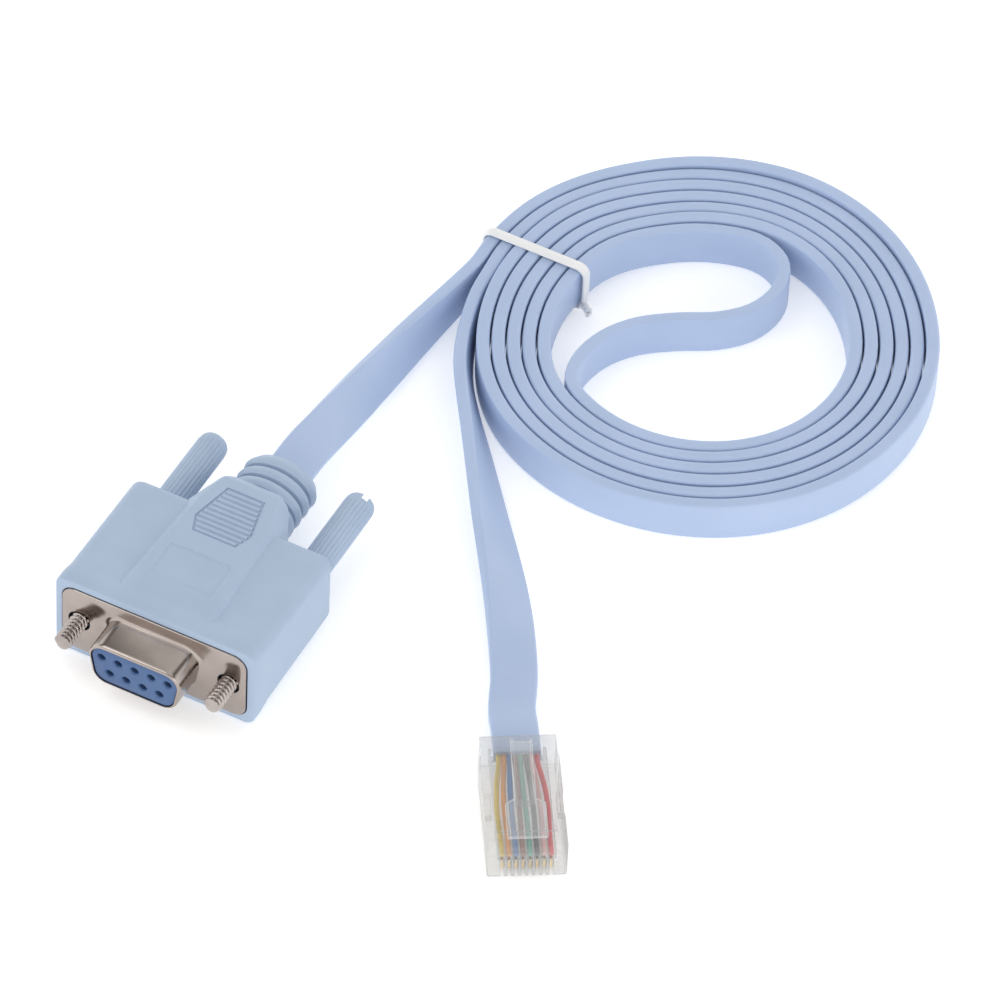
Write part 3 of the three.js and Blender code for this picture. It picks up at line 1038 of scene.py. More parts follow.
    def turn_at(self, along: float, total: float, tail_in: float, tail_out: float) -> float:
        """How far the cable is turned from standing on edge, in degrees, at a distance along it.

        Args:
            along: the distance from the D connector.
            total: the whole length.
            tail_in: the length of the D connector's tail.
            tail_out: the length of the plug's tail.

        Returns:
            The turn, in degrees.
        """
        if along < tail_in:
            return -90 * (1 - along / tail_in) ** self.turn_in_power
        if along > total - tail_out:
            share = (along - total + tail_out) / (self.turn_out_share * tail_out)
            return 90 * min(1.0, share) ** self.turn_out_power
        return 0.0

    def declare(self, made: bpy.types.Object, pieces: Sequence[bpy.types.Object | str]) -> None:
        """Does nothing with the cable or with the pieces that are on it.

        Args:
            made: the sheath's piece; not used.
            pieces: what moves with the cable; not used.
        """


@dataclass
class TwistTie(Assembly):
    """The white plastic-coated tie round the coil, with its twisted end."""

    coil: Coil = field(default_factory=Coil)
    cable_width: float = 7.0
    cable_thickness: float = 2.05
    clearance: float = 0.3
    thickness: float = 0.75
    width: float = 1.75
    corner: float = 1.5
    sway: float = 0.45
    lanes: int = 6
    end_height: float = 1.0
    end_run: Point = (-0.72, 0.62, 0.34)
    end_length: float = 3.0
    end_turns: float = 1.4
    end_radius: float = 0.34
    end_steps: int = 24

    def loop(self) -> bpy.types.Mesh:
        """The band, swept round the bundle.

        Returns:
            The mesh, with the twisted end.
        """
        room = self.cable_thickness / 2 + self.clearance
        inner = self.coil.inner_turn - room
        outer = self.coil.inner_turn + self.coil.pitch * self.lanes + room
        middle_width = outer - inner + self.thickness
        middle_height = self.cable_width + 2 * self.clearance + self.thickness
        ring_path = rounded_rectangle(middle_width, middle_height, self.corner, 8)
        outside = [(-0.5, 0.0), (-0.44, 0.26), (-0.22, 0.3), (0.0, 0.5), (0.22, 0.3), (0.44, 0.26)]
        section = [*outside, *[(-a, -b) for a, b in outside]]
        rings = []
        count = len(ring_path)
        for index, (x, z) in enumerate(ring_path):
            ahead, behind = ring_path[(index + 1) % count], ring_path[index - 1]
            run = Vector((ahead[0] - behind[0], 0, ahead[1] - behind[1])).normalized()
            out = Vector((run.z, 0, -run.x))
            centre = Vector((x, self.sway * math.sin(x / middle_width * math.pi), z))
            ring = [Vector((0, a * self.width, 0)) + out * b * self.thickness for a, b in section]
            rings.append([centre + point for point in ring])
        work = Workpiece().lofted(rings, closed=True)
        self.twist(work, Vector((-middle_width / 2, 0.0, -middle_height / 2 + self.end_height)))
        work.moved(Matrix.Translation(((inner + outer) / 2, 0, (middle_height + self.thickness) / 2)))
        work.moved(Matrix.Rotation(math.radians(self.coil.tie_angle), 4, "Z"))
        work.moved(Matrix.Translation((self.coil.x, self.coil.y, 0)))
        return work.mesh("twist_tie")

    def twist(self, work: Workpiece, start: Vector) -> None:
        """Add the two ends, twisted round each other.

        Args:
            work: the workpiece that they are added to.
            start: where they leave the band.
        """
        run = Vector(self.end_run).normalized()
        side = run.cross(Vector((0, 0, 1))).normalized()
        rise = side.cross(run)
        for half in (0.0, math.pi):
            line = []
            for step in range(self.end_steps + 1):
                share = step / self.end_steps
                angle = half + 2 * math.pi * self.end_turns * share
                spread = self.end_radius * (1 + 0.5 * smooth((share - 0.8) / 0.2))
                offset = side * math.cos(angle) * spread + rise * math.sin(angle) * spread
                line.append(start + run * (self.end_length * share) + offset)
            work.lofted(tube_rings(line, self.end_radius, 8))

    def build(self) -> bpy.types.Object:
        """Make the tie."""
        return self.piece(self.loop(), "twist_tie", TIE_FINISH.material(), "tie_white", ["cable_tie"])


def tube_rings(line: Sequence[Vector], radius: float, sides: int) -> list[list[Vector]]:
    """Round rings along a line, carried along it without twisting.

    Args:
        line: the points along the middle.
        radius: the rings' radius.
        sides: how many points a ring has.

    Returns:
        The rings, ready to be lofted.
    """
    rings = []
    side = None
    for index, point in enumerate(line):
        tangent = (line[min(index + 1, len(line) - 1)] - line[max(index - 1, 0)]).normalized()
        if side is None:
            side = tangent.orthogonal().normalized()
        side = (side - tangent * side.dot(tangent)).normalized()
        other = tangent.cross(side)
        ring = []
        for step in range(sides):
            angle = 2 * math.pi * step / sides
            ring.append(point + (side * math.cos(angle) + other * math.sin(angle)) * radius)
        rings.append(ring)
    return rings


@dataclass
class DConnector(Assembly):
    """The moulded hood with its metal shell, insulator, contacts and thumbscrews."""

    flange_width: float = 30.8
    flange_height: float = 12.5
    flange_thickness: float = 0.9
    flange_corner: float = 2.2
    shell_width: float = 16.33
    shell_height: float = 7.9
    shell_reach: float = 5.9
    shell_wall: float = 0.45
    shell_slant: float = 10.0
    shell_corner: float = 2.6
    contact_pitch: float = 2.77
    contact_rows: float = 2.84
    hole: float = 1.25
    screw_spacing: float = 25.0
    thread: float = 2.84
    thread_pitch: float = 0.74
    thread_depth: float = 0.46
    screw_gap: float = 0.42
    screw_reach: float = 5.35
    knob: float = 4.9
    knob_front: float = 9.0
    knob_end: float = 41.5
    hood_width: float = 33.4
    hood_thickness: float = 15.0
    ramp_start: float = 2.5
    ramp_end: float = 4.6
    ramp_drop: float = 0.6
    wing_drop: float = 0.95
    hood_front: float = 0.25
    hood_edge: float = 1.7
    shoulder: float = 24.4
    block_front: float = 2.0
    block_edge: float = 0.6
    relief_width: float = 12.2
    relief_height: float = 9.6
    relief_start: float = 29.8
    relief_end: float = 40.2
    groove_start: float = 32.4
    groove_pitch: float = 2.35
    groove_width: float = 0.66
    label_width: float = 10.4
    label_length: float = 6.7
    label_y: float = 11.15
    label_depth: float = 0.14
    grip: tuple[tuple[float, float], ...] = ((18.3, 3.3), (21.0, 4.4), (27.8, 2.8))
    grip_margin: float = 0.35
    grip_depth: float = 0.25
    rib_start: float = 18.65
    rib_pitch: float = 0.97
    rib_radius: float = 0.34
    rib_count: int = 10
    screw_root: float = 2.4
    screw_tip: float = 0.32
    knob_ribs: int = 22
    knob_ribbing: float = 0.17
    slot_width: float = 1.0
    slot_depth: float = 1.3
    knob_turns: tuple[float, float] = (25.0, 112.0)
    clearance: float = 0.3

    def d_outline(self, inset: float, arc: int = 8) -> list[tuple[float, float]]:
        """The D outline, its wide side up, shrunk by an inset all round.

        Args:
            inset: how far it is shrunk.
            arc: how many steps each corner has.

        Returns:
            The outline's (x, z) points.
        """
        slant = math.radians(self.shell_slant)
        half = self.shell_height / 2 - inset
        middle = self.shell_width / 2 - (self.shell_height / 2) * math.tan(slant) - inset / math.cos(slant)
        top, bottom = middle + half * math.tan(slant), middle - half * math.tan(slant)
        radius = max(self.shell_corner - inset, 0.3)
        corners = [Vector(corner) for corner in mirrored([(bottom, -half), (top, half)])]
        points = []
        for index, corner in enumerate(corners):
            before = (corners[index - 1] - corner).normalized()
            after = (corners[(index + 1) % 4] - corner).normalized()
            half_angle = math.acos(before.dot(after)) / 2
            centre = corner + (before + after).normalized() * (radius / math.sin(half_angle))
            start = corner + before * (radius / math.tan(half_angle)) - centre
            end = corner + after * (radius / math.tan(half_angle)) - centre
            first = math.atan2(start.y, start.x)
            sweep = (math.atan2(end.y, end.x) - first) % (2 * math.pi)
            for step in range(arc + 1):
                angle = first + sweep * step / arc
                points.append((centre.x + radius * math.cos(angle), centre.y + radius * math.sin(angle)))
        return points

    @staticmethod
    def ring(outline: Sequence[tuple[float, float]], y: float) -> list[Vector]:
        """An outline in X and Z, stood at a Y place."""
        return [Vector((x, y, z)) for x, z in outline]

    @staticmethod
    def skin(rings: Sequence[Sequence[Vector]], name: str) -> bpy.types.Mesh:
        """A capped skin over rings, as a mesh."""
        return Workpiece().lofted(rings).mesh(name)

    def hood_mesh(self) -> bpy.types.Mesh:
        """The hood: a body whose wings slope, a raised middle, and the strain relief.

        Returns:
            The mesh.
        """
        body = self.skin([self.body_ring(y, inset) for y, inset in self.body_stations()], "body")
        whole = combined(body, [self.block_mesh(), self.relief_mesh()], Cut.UNION)
        return combined(whole, self.hood_tools(), Cut.DIFFERENCE)

    def drop_at(self, y: float) -> float:
        """How far the wings lie below the front band at a place along them.

        Args:
            y: the place.

        Returns:
            The drop on each broad side.
        """
        if y <= self.ramp_start:
            return 0.0
        share = (y - self.ramp_end) / (self.shoulder - self.ramp_end)
        return self.ramp_drop + (self.wing_drop - self.ramp_drop) * share

    def body_stations(self) -> list[tuple[float, float]]:
        """The body's (y, inset) places: a small round at the front rim, and a larger one at the rear.

        Returns:
            The places, from front to rear.
        """
        front, rear = self.hood_front, self.shoulder
        stations = [(front, 0.35), (front + 0.1, 0.13), (front + 0.35, 0.0), (self.ramp_start, 0.0)]
        stations += [(self.ramp_end, 0.0), (rear - 1.3, 0.0), (rear - 0.75, 0.12), (rear - 0.35, 0.42)]
        return [*stations, (rear - 0.08, 0.95), (rear, 1.4)]

    def body_ring(self, y: float, inset: float) -> list[Vector]:
        """The body's rounded outline at a place along it.

        Args:
            y: the place.
            inset: how far the outline is shrunk there.

        Returns:
            The ring.
        """
        height = self.hood_thickness - 2 * self.drop_at(y)
        width = self.hood_width - 2 * inset
        return self.ring(rounded_rectangle(width, height - 2 * inset, self.hood_edge - inset / 2, 6), y)

    def block_mesh(self) -> bpy.types.Mesh:
        """The raised middle, which narrows towards the strain relief.

        Returns:
            The mesh.
        """
        half = self.hood_thickness / 2
        wing = half - self.wing_drop
        stations = [
            (self.block_front, 7.3, 7.9, half - 0.03, half - 0.5),
            (self.ramp_end, 7.2, 8.6, half, half - self.ramp_drop - 0.45),
            (self.shoulder + 0.3, 5.9, 7.9, half, wing - 0.75),
            (self.relief_start + 0.2, 4.9, 6.1, half - 0.1, wing - 1.3),
            (self.relief_start + 1.8, 3.9, 5.1, half - 1.3, wing - 2.2),
        ]
        block = Workpiece().lofted([self.ring(self.block_outline(*sizes), y) for y, *sizes in stations])
        block.bevel(self.block_edge, 4, self.is_block_edge)
        return block.mesh("middle")

    def is_block_edge(self, edge: bmesh.types.BMEdge) -> bool:
        """Whether an edge of the raised middle is one that the moulding rounds: all but the front's.

        Args:
            edge: the edge.

        Returns:
            Whether it is rounded.
        """
        first, second = edge.verts
        rear = min(first.co.y, second.co.y) > self.ramp_start
        return (rear or abs(first.co.y - second.co.y) > 1) and edge.calc_face_angle(0.0) > 0.2

    @staticmethod
    def block_outline(top: float, foot: float, high: float, knee: float) -> list[tuple[float, float]]:
        """The raised middle's outline: flat top and bottom, slanted to upright sides."""
        return mirrored([(top, -high), (foot, -knee), (foot, knee), (top, high)])

    def relief_mesh(self) -> bpy.types.Mesh:
        """The strain relief: an oval bar with rounded rings and narrow grooves between.

        Returns:
            The mesh.
        """
        rings = [(self.relief_start, 0.96), (self.relief_start + 1.4, 1.0), (self.groove_start - 0.3, 0.985)]
        crown = self.groove_pitch - self.groove_width
        for index in range(3):
            start = self.groove_start + self.groove_pitch * index
            end = start + self.groove_width
            rings += [(start, 0.94), (start + 0.16, 0.81), (end - 0.16, 0.81), (end, 0.94)]
            for share in (0.12, 0.3, 0.5, 0.7, 0.88):
                rings.append((end + crown * share, 0.94 + 0.065 * math.sin(math.pi * share)))
        rings += [(self.relief_end - 0.65, 0.93), (self.relief_end - 0.2, 0.89), (self.relief_end, 0.83)]
        angles = [2 * math.pi * step / 48 for step in range(48)]
        oval = [(math.cos(a) * self.relief_width / 2, math.sin(a) * self.relief_height / 2) for a in angles]
        skin = [self.ring([(x * size, z * size) for x, z in oval], y) for y, size in rings]
        return self.skin(skin, "relief")

    def hood_tools(self) -> list[bpy.types.Mesh]:
        """What is cut from the hood: the flange's pocket, the bores, the label's recess and the grip's.

        Returns:
            The meshes.
        """
        half = self.hood_thickness / 2
        gap = self.clearance / 2
        width, height = self.flange_width + 2 * gap, self.flange_height + 2 * gap
        pocket = rounded_rectangle(width, height, self.flange_corner + gap, 8)
        bottom = self.flange_thickness + self.clearance
        tools = [self.skin([self.ring(pocket, -1), self.ring(pocket, bottom)], "pocket")]
        screw_bore, knob_bore = self.thread / 2 + self.screw_gap, self.knob / 2 + self.clearance
        for side in Side:
            x = side.value * self.screw_spacing / 2
            front = self.knob_front - self.clearance
            tools.append(Workpiece().rod(screw_bore, -1, self.knob_front, 32, x).mesh("bore"))
            tools.append(Workpiece().rod(knob_bore, front, self.shoulder + 1, 40, x).mesh("bore"))
        label = rounded_rectangle(self.label_width, self.label_length, 0.5, 4)
        levels = [(0.975, half - self.label_depth), (1.2, half + 1)]
        recess = [[Vector((x * size, self.label_y + y * size, z)) for x, y in label] for size, z in levels]
        tools.append(self.skin(recess, "label"))
        grip = self.grip_outline()
        levels = [half - self.grip_depth, half + 1]
        tools.append(self.skin([[Vector((x, y, z)) for x, y in grip] for z in levels], "grip"))
        return tools

    def grip_half(self, y: float) -> float:
        """Half the width of the ribbed grip at a place along it.

        Args:
            y: the place.

        Returns:
            Half the width.
        """
        front, middle, rear = self.grip
        start, end = (front, middle) if y < middle[0] else (middle, rear)
        share = (y - start[0]) / (end[0] - start[0])
        return start[1] + (end[1] - start[1]) * share

    def grip_outline(self) -> list[tuple[float, float]]:
        """The hexagon round the grip's ribs.

        Returns:
            The outline's (x, y) points.
        """
        shifts = (-self.clearance, 0.0, self.clearance)
        right = [(half + self.grip_margin, y + shift) for (y, half), shift in zip(self.grip, shifts)]
        return mirrored(right)

    def grip_ribs(self) -> Workpiece:
        """Rounded ribs across the grip.

        Returns:
            The workpiece.
        """
        work = Workpiece()
        z = self.hood_thickness / 2 - 0.3
        for index in range(self.rib_count):
            y = self.rib_start + self.rib_pitch * index
            line = [Vector((share * self.grip_half(y), y, z)) for share in (-1, -0.5, 0, 0.5, 1)]
            work.lofted(tube_rings(line, self.rib_radius, 12))
        return work

    def build_hood(self) -> bpy.types.Object:
        """The hood and the ribs of its grip, as one moulding.

        Returns:
            The piece.
        """
        hood = self.hood_mesh()
        whole = bmesh.new()
        whole.from_mesh(hood)
        whole.from_mesh(self.grip_ribs().mesh("ribs"))
        whole.to_mesh(hood)
        whole.free()
        finish = HOOD_FINISH.material()
        return self.piece(hood, "moulded_hood", finish, "hood_pvc", ["db9_hood"], smooth_below=34)

    def build_shell(self) -> bpy.types.Object:
        """The pressed shell: the flange, and the D tube with a round root and lip.

        Returns:
            The piece.
        """
        outline = rounded_rectangle(self.flange_width, self.flange_height, self.flange_corner, 8)
        plate = Workpiece().lofted([self.ring(outline, y) for y in (0, self.flange_thickness)])
        plate.bevel(0.15, 2, lambda edge: all(v.co.y < 0.01 for v in edge.verts))
        reach = -self.shell_reach
        steps = [(0.4, -0.8), (0.0, -0.8), (-0.1, -0.42), (-0.32, -0.14), (-0.75, 0.0), (reach + 0.6, 0.0)]
        steps += [(reach + 0.25, 0.06), (reach + 0.06, 0.2), (reach, 0.34)]
        tube = self.skin([self.ring(self.d_outline(inset), y) for y, inset in steps], "tube")
        whole = combined(plate.mesh("plate"), [tube], Cut.UNION)
        inside = self.d_outline(self.shell_wall)
        tools = [self.skin([self.ring(inside, y) for y in (reach - 1, 2)], "inside")]
        for side in Side:
            x = side.value * self.screw_spacing / 2
            tools.append(Workpiece().rod(self.thread / 2 + self.screw_gap, -1, 2, 32, x).mesh("hole"))
        mesh = combined(whole, tools, Cut.DIFFERENCE)
        return self.piece(mesh, "plated_shell", NICKEL_FINISH.material(), "nickel_plate", ["db9_shell"])

    def contact_places(self) -> list[tuple[float, float]]:
        """The nine contacts' places: five above four.

        Returns:
            The (x, z) places.
        """
        upper = [((index - 2) * self.contact_pitch, self.contact_rows / 2) for index in range(5)]
        lower = [((index - 1.5) * self.contact_pitch, -self.contact_rows / 2) for index in range(4)]
        return upper + lower

    def build_insulator(self) -> bpy.types.Object:
        """The insulator with its nine countersunk holes.

        Returns:
            The piece.
        """
        front = -self.shell_reach + 0.12
        steps = [(front, 0.25), (front + 0.08, 0.08), (front + 0.25, 0.0), (self.flange_thickness, 0.0)]
        wall = self.shell_wall + 0.06
        body = self.skin([self.ring(self.d_outline(wall + inset), y) for y, inset in steps], "insulator")
        tools = []
        for x, z in self.contact_places():
            hole, outside, bottom = self.hole / 2, front - 0.5, front + 4.6
            profile = [(0, outside), (hole + 0.5, outside), (hole + 0.18, front), (hole, front + 0.22)]
            profile += [(hole, bottom), (0, bottom)]
            tools.append(Workpiece().turned(profile, 28).moved(Matrix.Translation((x, 0, z))).mesh("hole"))
        mesh = combined(body, tools, Cut.DIFFERENCE)
        finish = INSULATOR_FINISH.material()
        return self.piece(mesh, "insulator_block", finish, "insulator_blue", ["db9_insulator"])

    def build_screw(self, side: Side) -> bpy.types.Object:
        """A screw: a round bar whose skin dips along a helix, which makes its thread.

        Args:
            side: which thumbscrew it is.

        Returns:
            The piece.
        """
        tip, sides = -self.screw_reach, 40
        radius = self.thread / 2
        y = tip + self.screw_tip
        rings = [(tip, 0.35), (tip + 0.1, 0.75), (y, 1.0)]
        while y < self.screw_root:
            y += self.thread_pitch / 10
            rings.append((y, 1.0))
        rows = []
        for y, share in rings:
            row = []
            for step in range(sides):
                angle = 2 * math.pi * step / sides
                phase = (y / self.thread_pitch - angle / (2 * math.pi)) % 1.0
                groove = self.thread_depth * max(0.0, 1 - abs(phase - 0.5) * 2.5)
                size = (radius - groove) * share
                row.append(Vector((size * math.cos(angle), y, size * math.sin(angle))))
            rows.append(row)
        work = Workpiece().lofted(rows)
        work.moved(Matrix.Translation((side.value * self.screw_spacing / 2, 0, 0)))
        name = f"machine_screw_{side.word}"
        body = f"thumbscrew_{side.word}"
        node = f"screw_{side.word}"
        return self.piece(work.mesh(name), name, STEEL_FINISH.material(), "screw_steel", [node], body, 50)

    def build_knob(self, side: Side) -> bpy.types.Object:
        """A ribbed knob with a screwdriver slot in its round end.

        Args:
            side: which thumbscrew it is.

        Returns:
            The piece.
        """
        radius = self.knob / 2
        end = self.knob_end
        rings = [(self.knob_front, 0.96), (self.knob_front + 0.3, 1.0), (end - 2.2, 1.0)]
        rings += [(end - 1.2, 0.985), (end - 0.6, 0.93), (end - 0.2, 0.82), (end, 0.66)]
        points = 6 * self.knob_ribs
        rows = []
        for y, share in rings:
            ribbing = self.knob_ribbing * smooth((end - 0.6 - y) / 1.2)
            row = []
            for step in range(points):
                angle = 2 * math.pi * step / points
                ridge = 0.5 + 0.5 * math.cos(angle * self.knob_ribs)
                size = radius * share - ribbing * (1 - ridge**0.6)
                row.append(Vector((size * math.cos(angle), y, size * math.sin(angle))))
            rows.append(row)
        work = Workpiece().lofted(rows)
        half = self.slot_width / 2
        slot = Workpiece().box((-radius - 1, end - self.slot_depth, -half), (radius + 1, end + 1, half))
        mesh = combined(work.mesh("knob"), [slot.mesh("slot")], Cut.DIFFERENCE)
        left, right = self.knob_turns
        turn = Matrix.Rotation(math.radians(left if side is Side.LEFT else right), 4, "Y")
        mesh.transform(Matrix.Translation((side.value * self.screw_spacing / 2, 0, 0)) @ turn)
        name = f"ribbed_knob_{side.word}"
        node = f"thumbscrew_knob_{side.word}"
        body = f"thumbscrew_{side.word}"
        return self.piece(mesh, name, KNOB_FINISH.material(), "hood_pvc", [node], body, 40)

    def build(self) -> None:
        """Build every piece of the connector, and dress the contacts."""
        self.build_hood()
        self.build_shell()
        self.build_insulator()
        for side in Side:
            self.build_screw(side)
            self.build_knob(side)
        gold = GOLD_FINISH.material()
        for index in range(1, 10):
            dress(f"socket_contact_{index}", gold)


def dress(node: str, material: bpy.types.Material) -> None:
    """Give a CAD node that stays its material.

    Args:
        node: the node's name.
        material: its material.
    """
    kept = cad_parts[node]
    kept.data.materials.clear()
    kept.data.materials.append(material)


@dataclass(frozen=True)
class Core:
    """One insulated core in the plug: its slot, its colour and where it lies in the cable."""

    slot: str
    colour: Colour
    sway: float


@dataclass(frozen=True)
class Window:
    """A window sunk into the plug's latch side: half its width, its two ends and its depth.

    The notch in each of the plug's sides is held in the same way, with half as its depth inwards.
    """

    half: float
    front: float
    rear: float
    depth: float


CORES = [
    Core("wire_yellow", (0.72, 0.52, 0.06), -0.25),
    Core("wire_orange", (0.80, 0.33, 0.06), -0.2),
    Core("wire_blue", (0.08, 0.22, 0.50), -0.15),
    Core("wire_brown", (0.30, 0.12, 0.08), 0.1),
    Core("wire_green", (0.06, 0.38, 0.28), -0.1),
    Core("wire_black", (0.035, 0.035, 0.04), 0.1),
    Core("wire_pink", (0.72, 0.42, 0.40), 0.1),
    Core("wire_red", (0.68, 0.025, 0.045), 0.3),
]


WINDOWS = [
    Window(1.3, -12.6, -4.5, 1.5),
    Window(3.1, -17.5, -12.7, 0.4),
    Window(4.4, -18.3, -17.4, 0.4),
]


@dataclass
class ModularPlug(Assembly):
    """The clear plug with its latch, cores and blades."""

    plug: Plug = field(default_factory=Plug)
    blade_pitch: float = 1.02
    blade_thickness: float = 0.32
    slot_gap: float = 0.12
    slot_length: float = 6.5
    slot_top: float = 3.2
    cable_width: float = 7.0
    cable_thickness: float = 2.05
    clearance: float = 0.3
    core: float = 0.78
    core_spacing: float = 0.8
    core_inset: float = 1.3
    channel_front: float = 1.0
    channel_half: float = 0.72
    notch: Window = Window(1.05, -15.2, -10.9, 1.4)
    waist: float = 0.22
    waist_start: float = -3.9
    latch_length: float = 16.0
    latch_rise: float = 9.5
    latch_thickness: float = 0.95
    latch_shoulder: float = 2.95
    latch_lever: float = 1.58
    shoulder_end: float = 5.6
    lever_start: float = 6.4
    rail_start: float = 5.2
    rail_half: float = 0.18
    rail_share: float = 0.89
    rail_height: float = 1.5
    hinge_inset: float = 1.2

    def blade_places(self) -> list[float]:
        """The X places of the eight blades."""
        return [(index - 3.5) * self.blade_pitch for index in range(8)]

    def body_mesh(self) -> bpy.types.Mesh:
        """The body: a bevelled block with its cable mouth, core channel, clamp windows and blade slots.

        Returns:
            The mesh.
        """
        nose = -self.plug.length
        half = self.plug.width / 2
        top = self.plug.height
        body = Workpiece().box((-half, nose, 0), (half, 0, top)).bevel(0.3, 3, sharp_edges(30))
        mouth = self.cable_width / 2 + self.clearance
        gap = self.cable_thickness / 2 + self.clearance
        middle = self.plug.cable_z
        depth = self.plug.cable_depth
        channel = 3.5 * self.blade_pitch + self.core / 2 + self.clearance
        tools = [
            Workpiece().box((-mouth, -depth, middle - gap), (mouth, 1, middle + gap)),
            Workpiece().box(
                (-channel, nose + self.channel_front, middle - self.channel_half),
                (channel, -depth + 1, middle + self.channel_half),
            ),
        ]
        for window in WINDOWS:
            low = (-window.half, window.front, top - window.depth)
            tools.append(Workpiece().box(low, (window.half, window.rear, top + 1)))
        for side in Side:
            insets = (-1.0, self.notch.half, self.waist)
            outer, notch, waist = (side.value * (half - inset) for inset in insets)
            low, high = sorted((outer, notch))
            bottom = top - self.notch.depth
            tools.append(Workpiece().box((low, self.notch.front, bottom), (high, self.notch.rear, top + 1)))
            low, high = sorted((outer, waist))
            tools.append(Workpiece().box((low, self.waist_start, -1), (high, 1, top + 1)))
        width = self.blade_thickness / 2 + self.slot_gap
        end = nose + self.slot_length
        for x in self.blade_places():
            tools.append(Workpiece().box((x - width, nose - 1, -1), (x + width, end, self.slot_top)))
        return combined(body.mesh("body"), [tool.mesh("tool") for tool in tools], Cut.DIFFERENCE)

    def latch_mesh(self) -> bpy.types.Mesh:
        """The latch: a root with shoulders and a lever with raised rails along its sides.

        Returns:
            The mesh.
        """
        shoulder, lever, length = self.latch_shoulder, self.latch_lever, self.latch_length
        right = [(shoulder, 0), (shoulder, self.shoulder_end), (lever, self.lever_start), (lever, length)]
        outline = mirrored(right)
        base = Workpiece().lofted(
            [[Vector((x, y, z)) for x, y in outline] for z in (0.0, self.latch_thickness)]
        )
        base.bevel(0.12, 2, sharp_edges(30))
        rails = []
        for share in (-self.rail_share, self.rail_share):
            low = (share * lever - self.rail_half, self.rail_start, 0.3)
            high = (share * lever + self.rail_half, length, self.rail_height)
            rails.append(Workpiece().box(low, high).bevel(0.08, 2, sharp_edges(30)))
        mesh = combined(base.mesh("latch"), [rail.mesh("rail") for rail in rails], Cut.UNION)
        turn = Matrix.Rotation(math.radians(self.latch_rise), 4, "X")
        hinge = (0, -self.plug.length + self.hinge_inset, self.plug.height + self.clearance)
        mesh.transform(Matrix.Translation(hinge) @ turn)
        return mesh

    def core_mesh(self, index: int) -> bpy.types.Mesh:
        """One core: out of the sheath, spread with a sway of its own, and on to its blade.

        Args:
            index: which core, from 0 to 7.

        Returns:
            The mesh.
        """
        start = (index - 3.5) * self.core_spacing
        end = self.blade_places()[index]
        sway = CORES[index].sway
        depth = self.plug.cable_depth
        nose = -self.plug.length + self.core_inset
        run = nose + depth
        plan = [
            (start, -depth + 0.6),
            (start + sway * 0.3, -depth - 1.5),
            (start + (end - start) * 0.5 + sway, -depth + run * 0.3),
            (end + sway * 0.6, -depth + run * 0.55),
            (end, nose + 3),
            (end, nose),
        ]
        route = [Vector((x, y, self.plug.cable_z)) for x, y in plan]
        return Workpiece().lofted(tube_rings(through(route, 0.6), self.core / 2, 12)).mesh("core")

    def build(self) -> list[bpy.types.Object]:
        """Build every piece of the plug.

        Returns:
            The pieces on the cable.
        """
        clear, bright = CLEAR_FINISH.material(), LATCH_FINISH.material()
        made = [
            self.piece(self.body_mesh(), "plug_body", clear, "clear_plastic", ["rj45_body"]),
            self.piece(self.latch_mesh(), "plug_latch", bright, "clear_plastic", ["rj45_latch"], "latch"),
        ]
        gold = GOLD_FINISH.material()
        for index, core in enumerate(CORES):
            paler = tuple(min(1.0, channel * 1.2 + 0.02) for channel in core.colour)
            finish = MouldedPlastic(f"{core.slot}_pvc", core.colour, paler, 0.32, 0.2, 0.006).material()
            name, wire, blade = (f"{word}_{index + 1}" for word in ("core", "rj45_wire", "rj45_contact"))
            made.append(self.piece(self.core_mesh(index), name, finish, core.slot, [wire]))
            dress(blade, gold)
            made.append(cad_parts[blade])
        return made


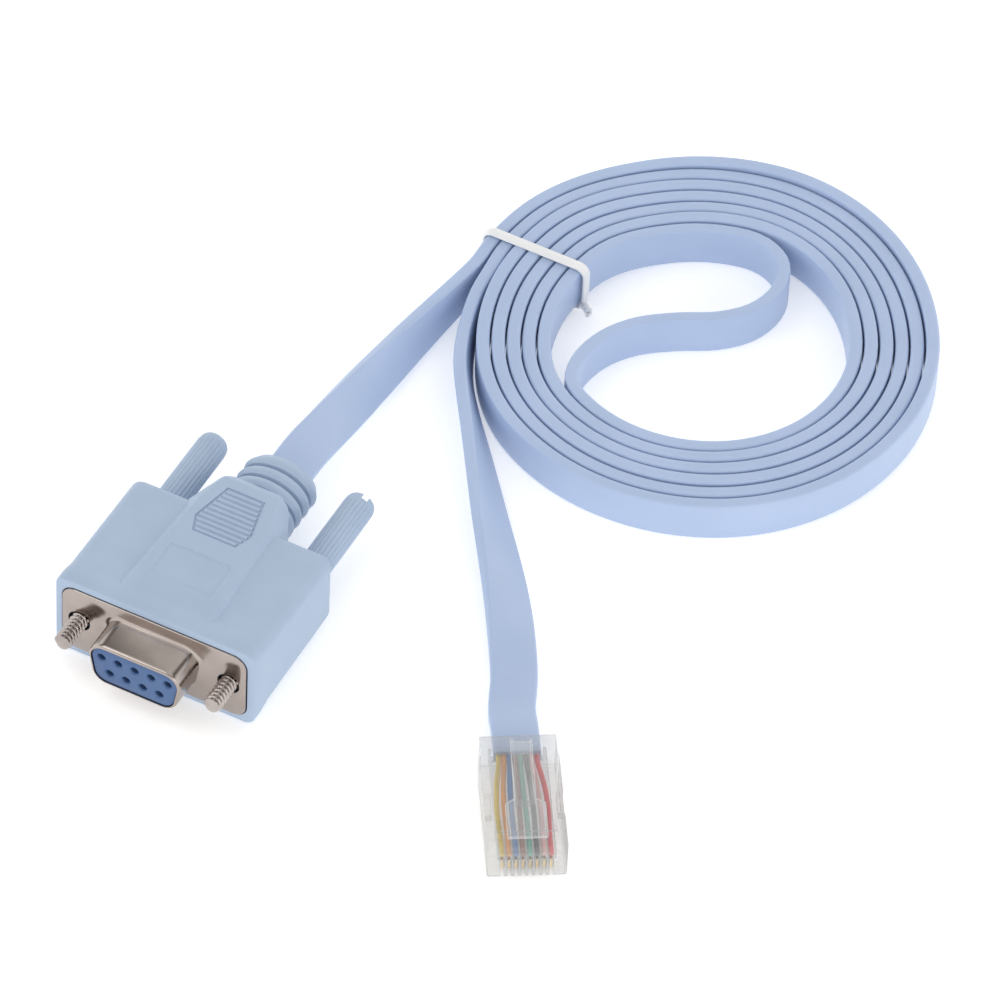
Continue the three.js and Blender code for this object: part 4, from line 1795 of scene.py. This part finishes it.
@dataclass
class Studio:
    """The floor, the light and the camera."""

    target: Point = (27.305, 40.331, 0.0)
    back: Point = (0.29144, -0.61376, 0.73373)
    distance: float = 1205.2
    focal_pixels: float = 8000.0
    image_pixels: float = 1001.0
    roll: float = 3.0
    sensor: float = 36.0
    floor_half: float = 3.0
    floor_glow: float = 0.32
    world_strength: float = 1.35
    world_levels: tuple[tuple[float, Colour], ...] = (
        (0.0, (1.0, 1.0, 1.0)),
        (0.35, (1.0, 1.0, 1.0)),
        (0.52, (0.86, 0.86, 0.86)),
        (0.62, (0.64, 0.64, 0.64)),
        (0.68, (0.16, 0.15, 0.14)),
        (0.80, (0.16, 0.15, 0.14)),
        (0.87, (0.66, 0.66, 0.66)),
        (1.0, (0.66, 0.66, 0.66)),
    )

    def build(self) -> None:
        """Set everything up."""
        self.floor()
        self.world()
        self.lamp("key", (-0.55, -0.35, 1.1), size=0.75, power=2.2)
        self.lamp("fill", (0.8, -0.5, 0.7), size=0.6, power=1.2)
        self.lamp("rear", (0.2, 0.9, 0.8), size=0.7, power=1.0)
        self.camera()
        bpy.context.scene.view_settings.view_transform = "Standard"

    def floor(self) -> None:
        """A wide pale floor, lit a little from within so that it stays white."""
        bm = bmesh.new()
        bmesh.ops.create_grid(bm, x_segments=2, y_segments=2, size=self.floor_half)
        mesh = bpy.data.meshes.new("studio_floor")
        bm.to_mesh(mesh)
        bm.free()
        floor = bpy.data.objects.new("studio_floor", mesh)
        bpy.context.scene.collection.objects.link(floor)
        graph = Graph(bpy.data.materials.new("floor_paper"))
        looks = {
            "Base Color": graph.tint(graph.noise(60.0), (0.90, 0.90, 0.90), (0.93, 0.93, 0.93)),
            "Roughness": 0.8,
            "Emission Color": (1.0, 1.0, 1.0),
            "Emission Strength": self.floor_glow,
        }
        mesh.materials.append(graph.finish(looks))

    def world(self) -> None:
        """A light tent: bright all round, with a dark band partway up that the metal mirrors."""
        world = bpy.data.worlds.new("studio_room")
        bpy.context.scene.world = world
        graph = Graph(world)
        direction = graph.node("ShaderNodeTexCoord").outputs["Generated"]
        height = graph.node("ShaderNodeSeparateXYZ", None, {0: direction}).outputs[2]
        ramp = graph.node("ShaderNodeValToRGB", {"stops": self.world_levels}, {0: height})
        inputs = {"Color": ramp.outputs[0], "Strength": self.world_strength}
        light = graph.node("ShaderNodeBackground", None, inputs)
        graph.node("ShaderNodeOutputWorld", None, {0: light.outputs[0]})

    def lamp(self, name: str, place: Point, size: float, power: float) -> None:
        """A square soft lamp that looks at the object; its place and size are in metres.

        Args:
            name: its name.
            place: where it hangs.
            size: its side.
            power: its power, in watts.
        """
        data = bpy.data.lights.new(name, "AREA")
        data.size = size
        data.energy = power
        lamp = bpy.data.objects.new(name, data)
        bpy.context.scene.collection.objects.link(lamp)
        lamp.location = place
        aim = Vector(self.target) * MM - Vector(place)
        lamp.rotation_euler = aim.to_track_quat("-Z", "Y").to_euler()

    def camera(self) -> None:
        """The camera at the photograph's viewing angle."""
        data = bpy.data.cameras.new("camera")
        data.sensor_width = self.sensor
        data.lens = self.focal_pixels / self.image_pixels * self.sensor
        data.clip_start, data.clip_end = 0.05, 10.0
        camera = bpy.data.objects.new("camera", data)
        bpy.context.scene.collection.objects.link(camera)
        back = Vector(self.back).normalized()
        camera.location = (Vector(self.target) + back * self.distance) * MM
        aim = (-back).to_track_quat("-Z", "Y").to_matrix().to_4x4()
        camera.rotation_euler = (aim @ Matrix.Rotation(math.radians(self.roll), 4, "Z")).to_euler()
        bpy.context.scene.camera = camera


def main() -> None:
    """Build the studio, then the cable, and then what is on it."""
    logging.basicConfig(level=logging.INFO, format="%(message)s")
    Studio().build()
    here = Matrix.Identity(4)
    shell_low, shell_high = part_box("db9_shell")
    connector = DConnector("cable", here)
    middle = (shell_low + shell_high) / 2 / MM
    connector.place = Matrix.Translation((middle.x, shell_low.y / MM + connector.shell_reach, middle.z))
    cable = FlatCable("cable", here)
    sheath = cable.build()
    tie = TwistTie("cable", here).build()
    plug = ModularPlug("cable", cable.plug.place())
    on_cable = plug.build()
    connector.build()
    cable.declare(sheath, [tie, *on_cable])


if __name__ == "__main__":
    main()
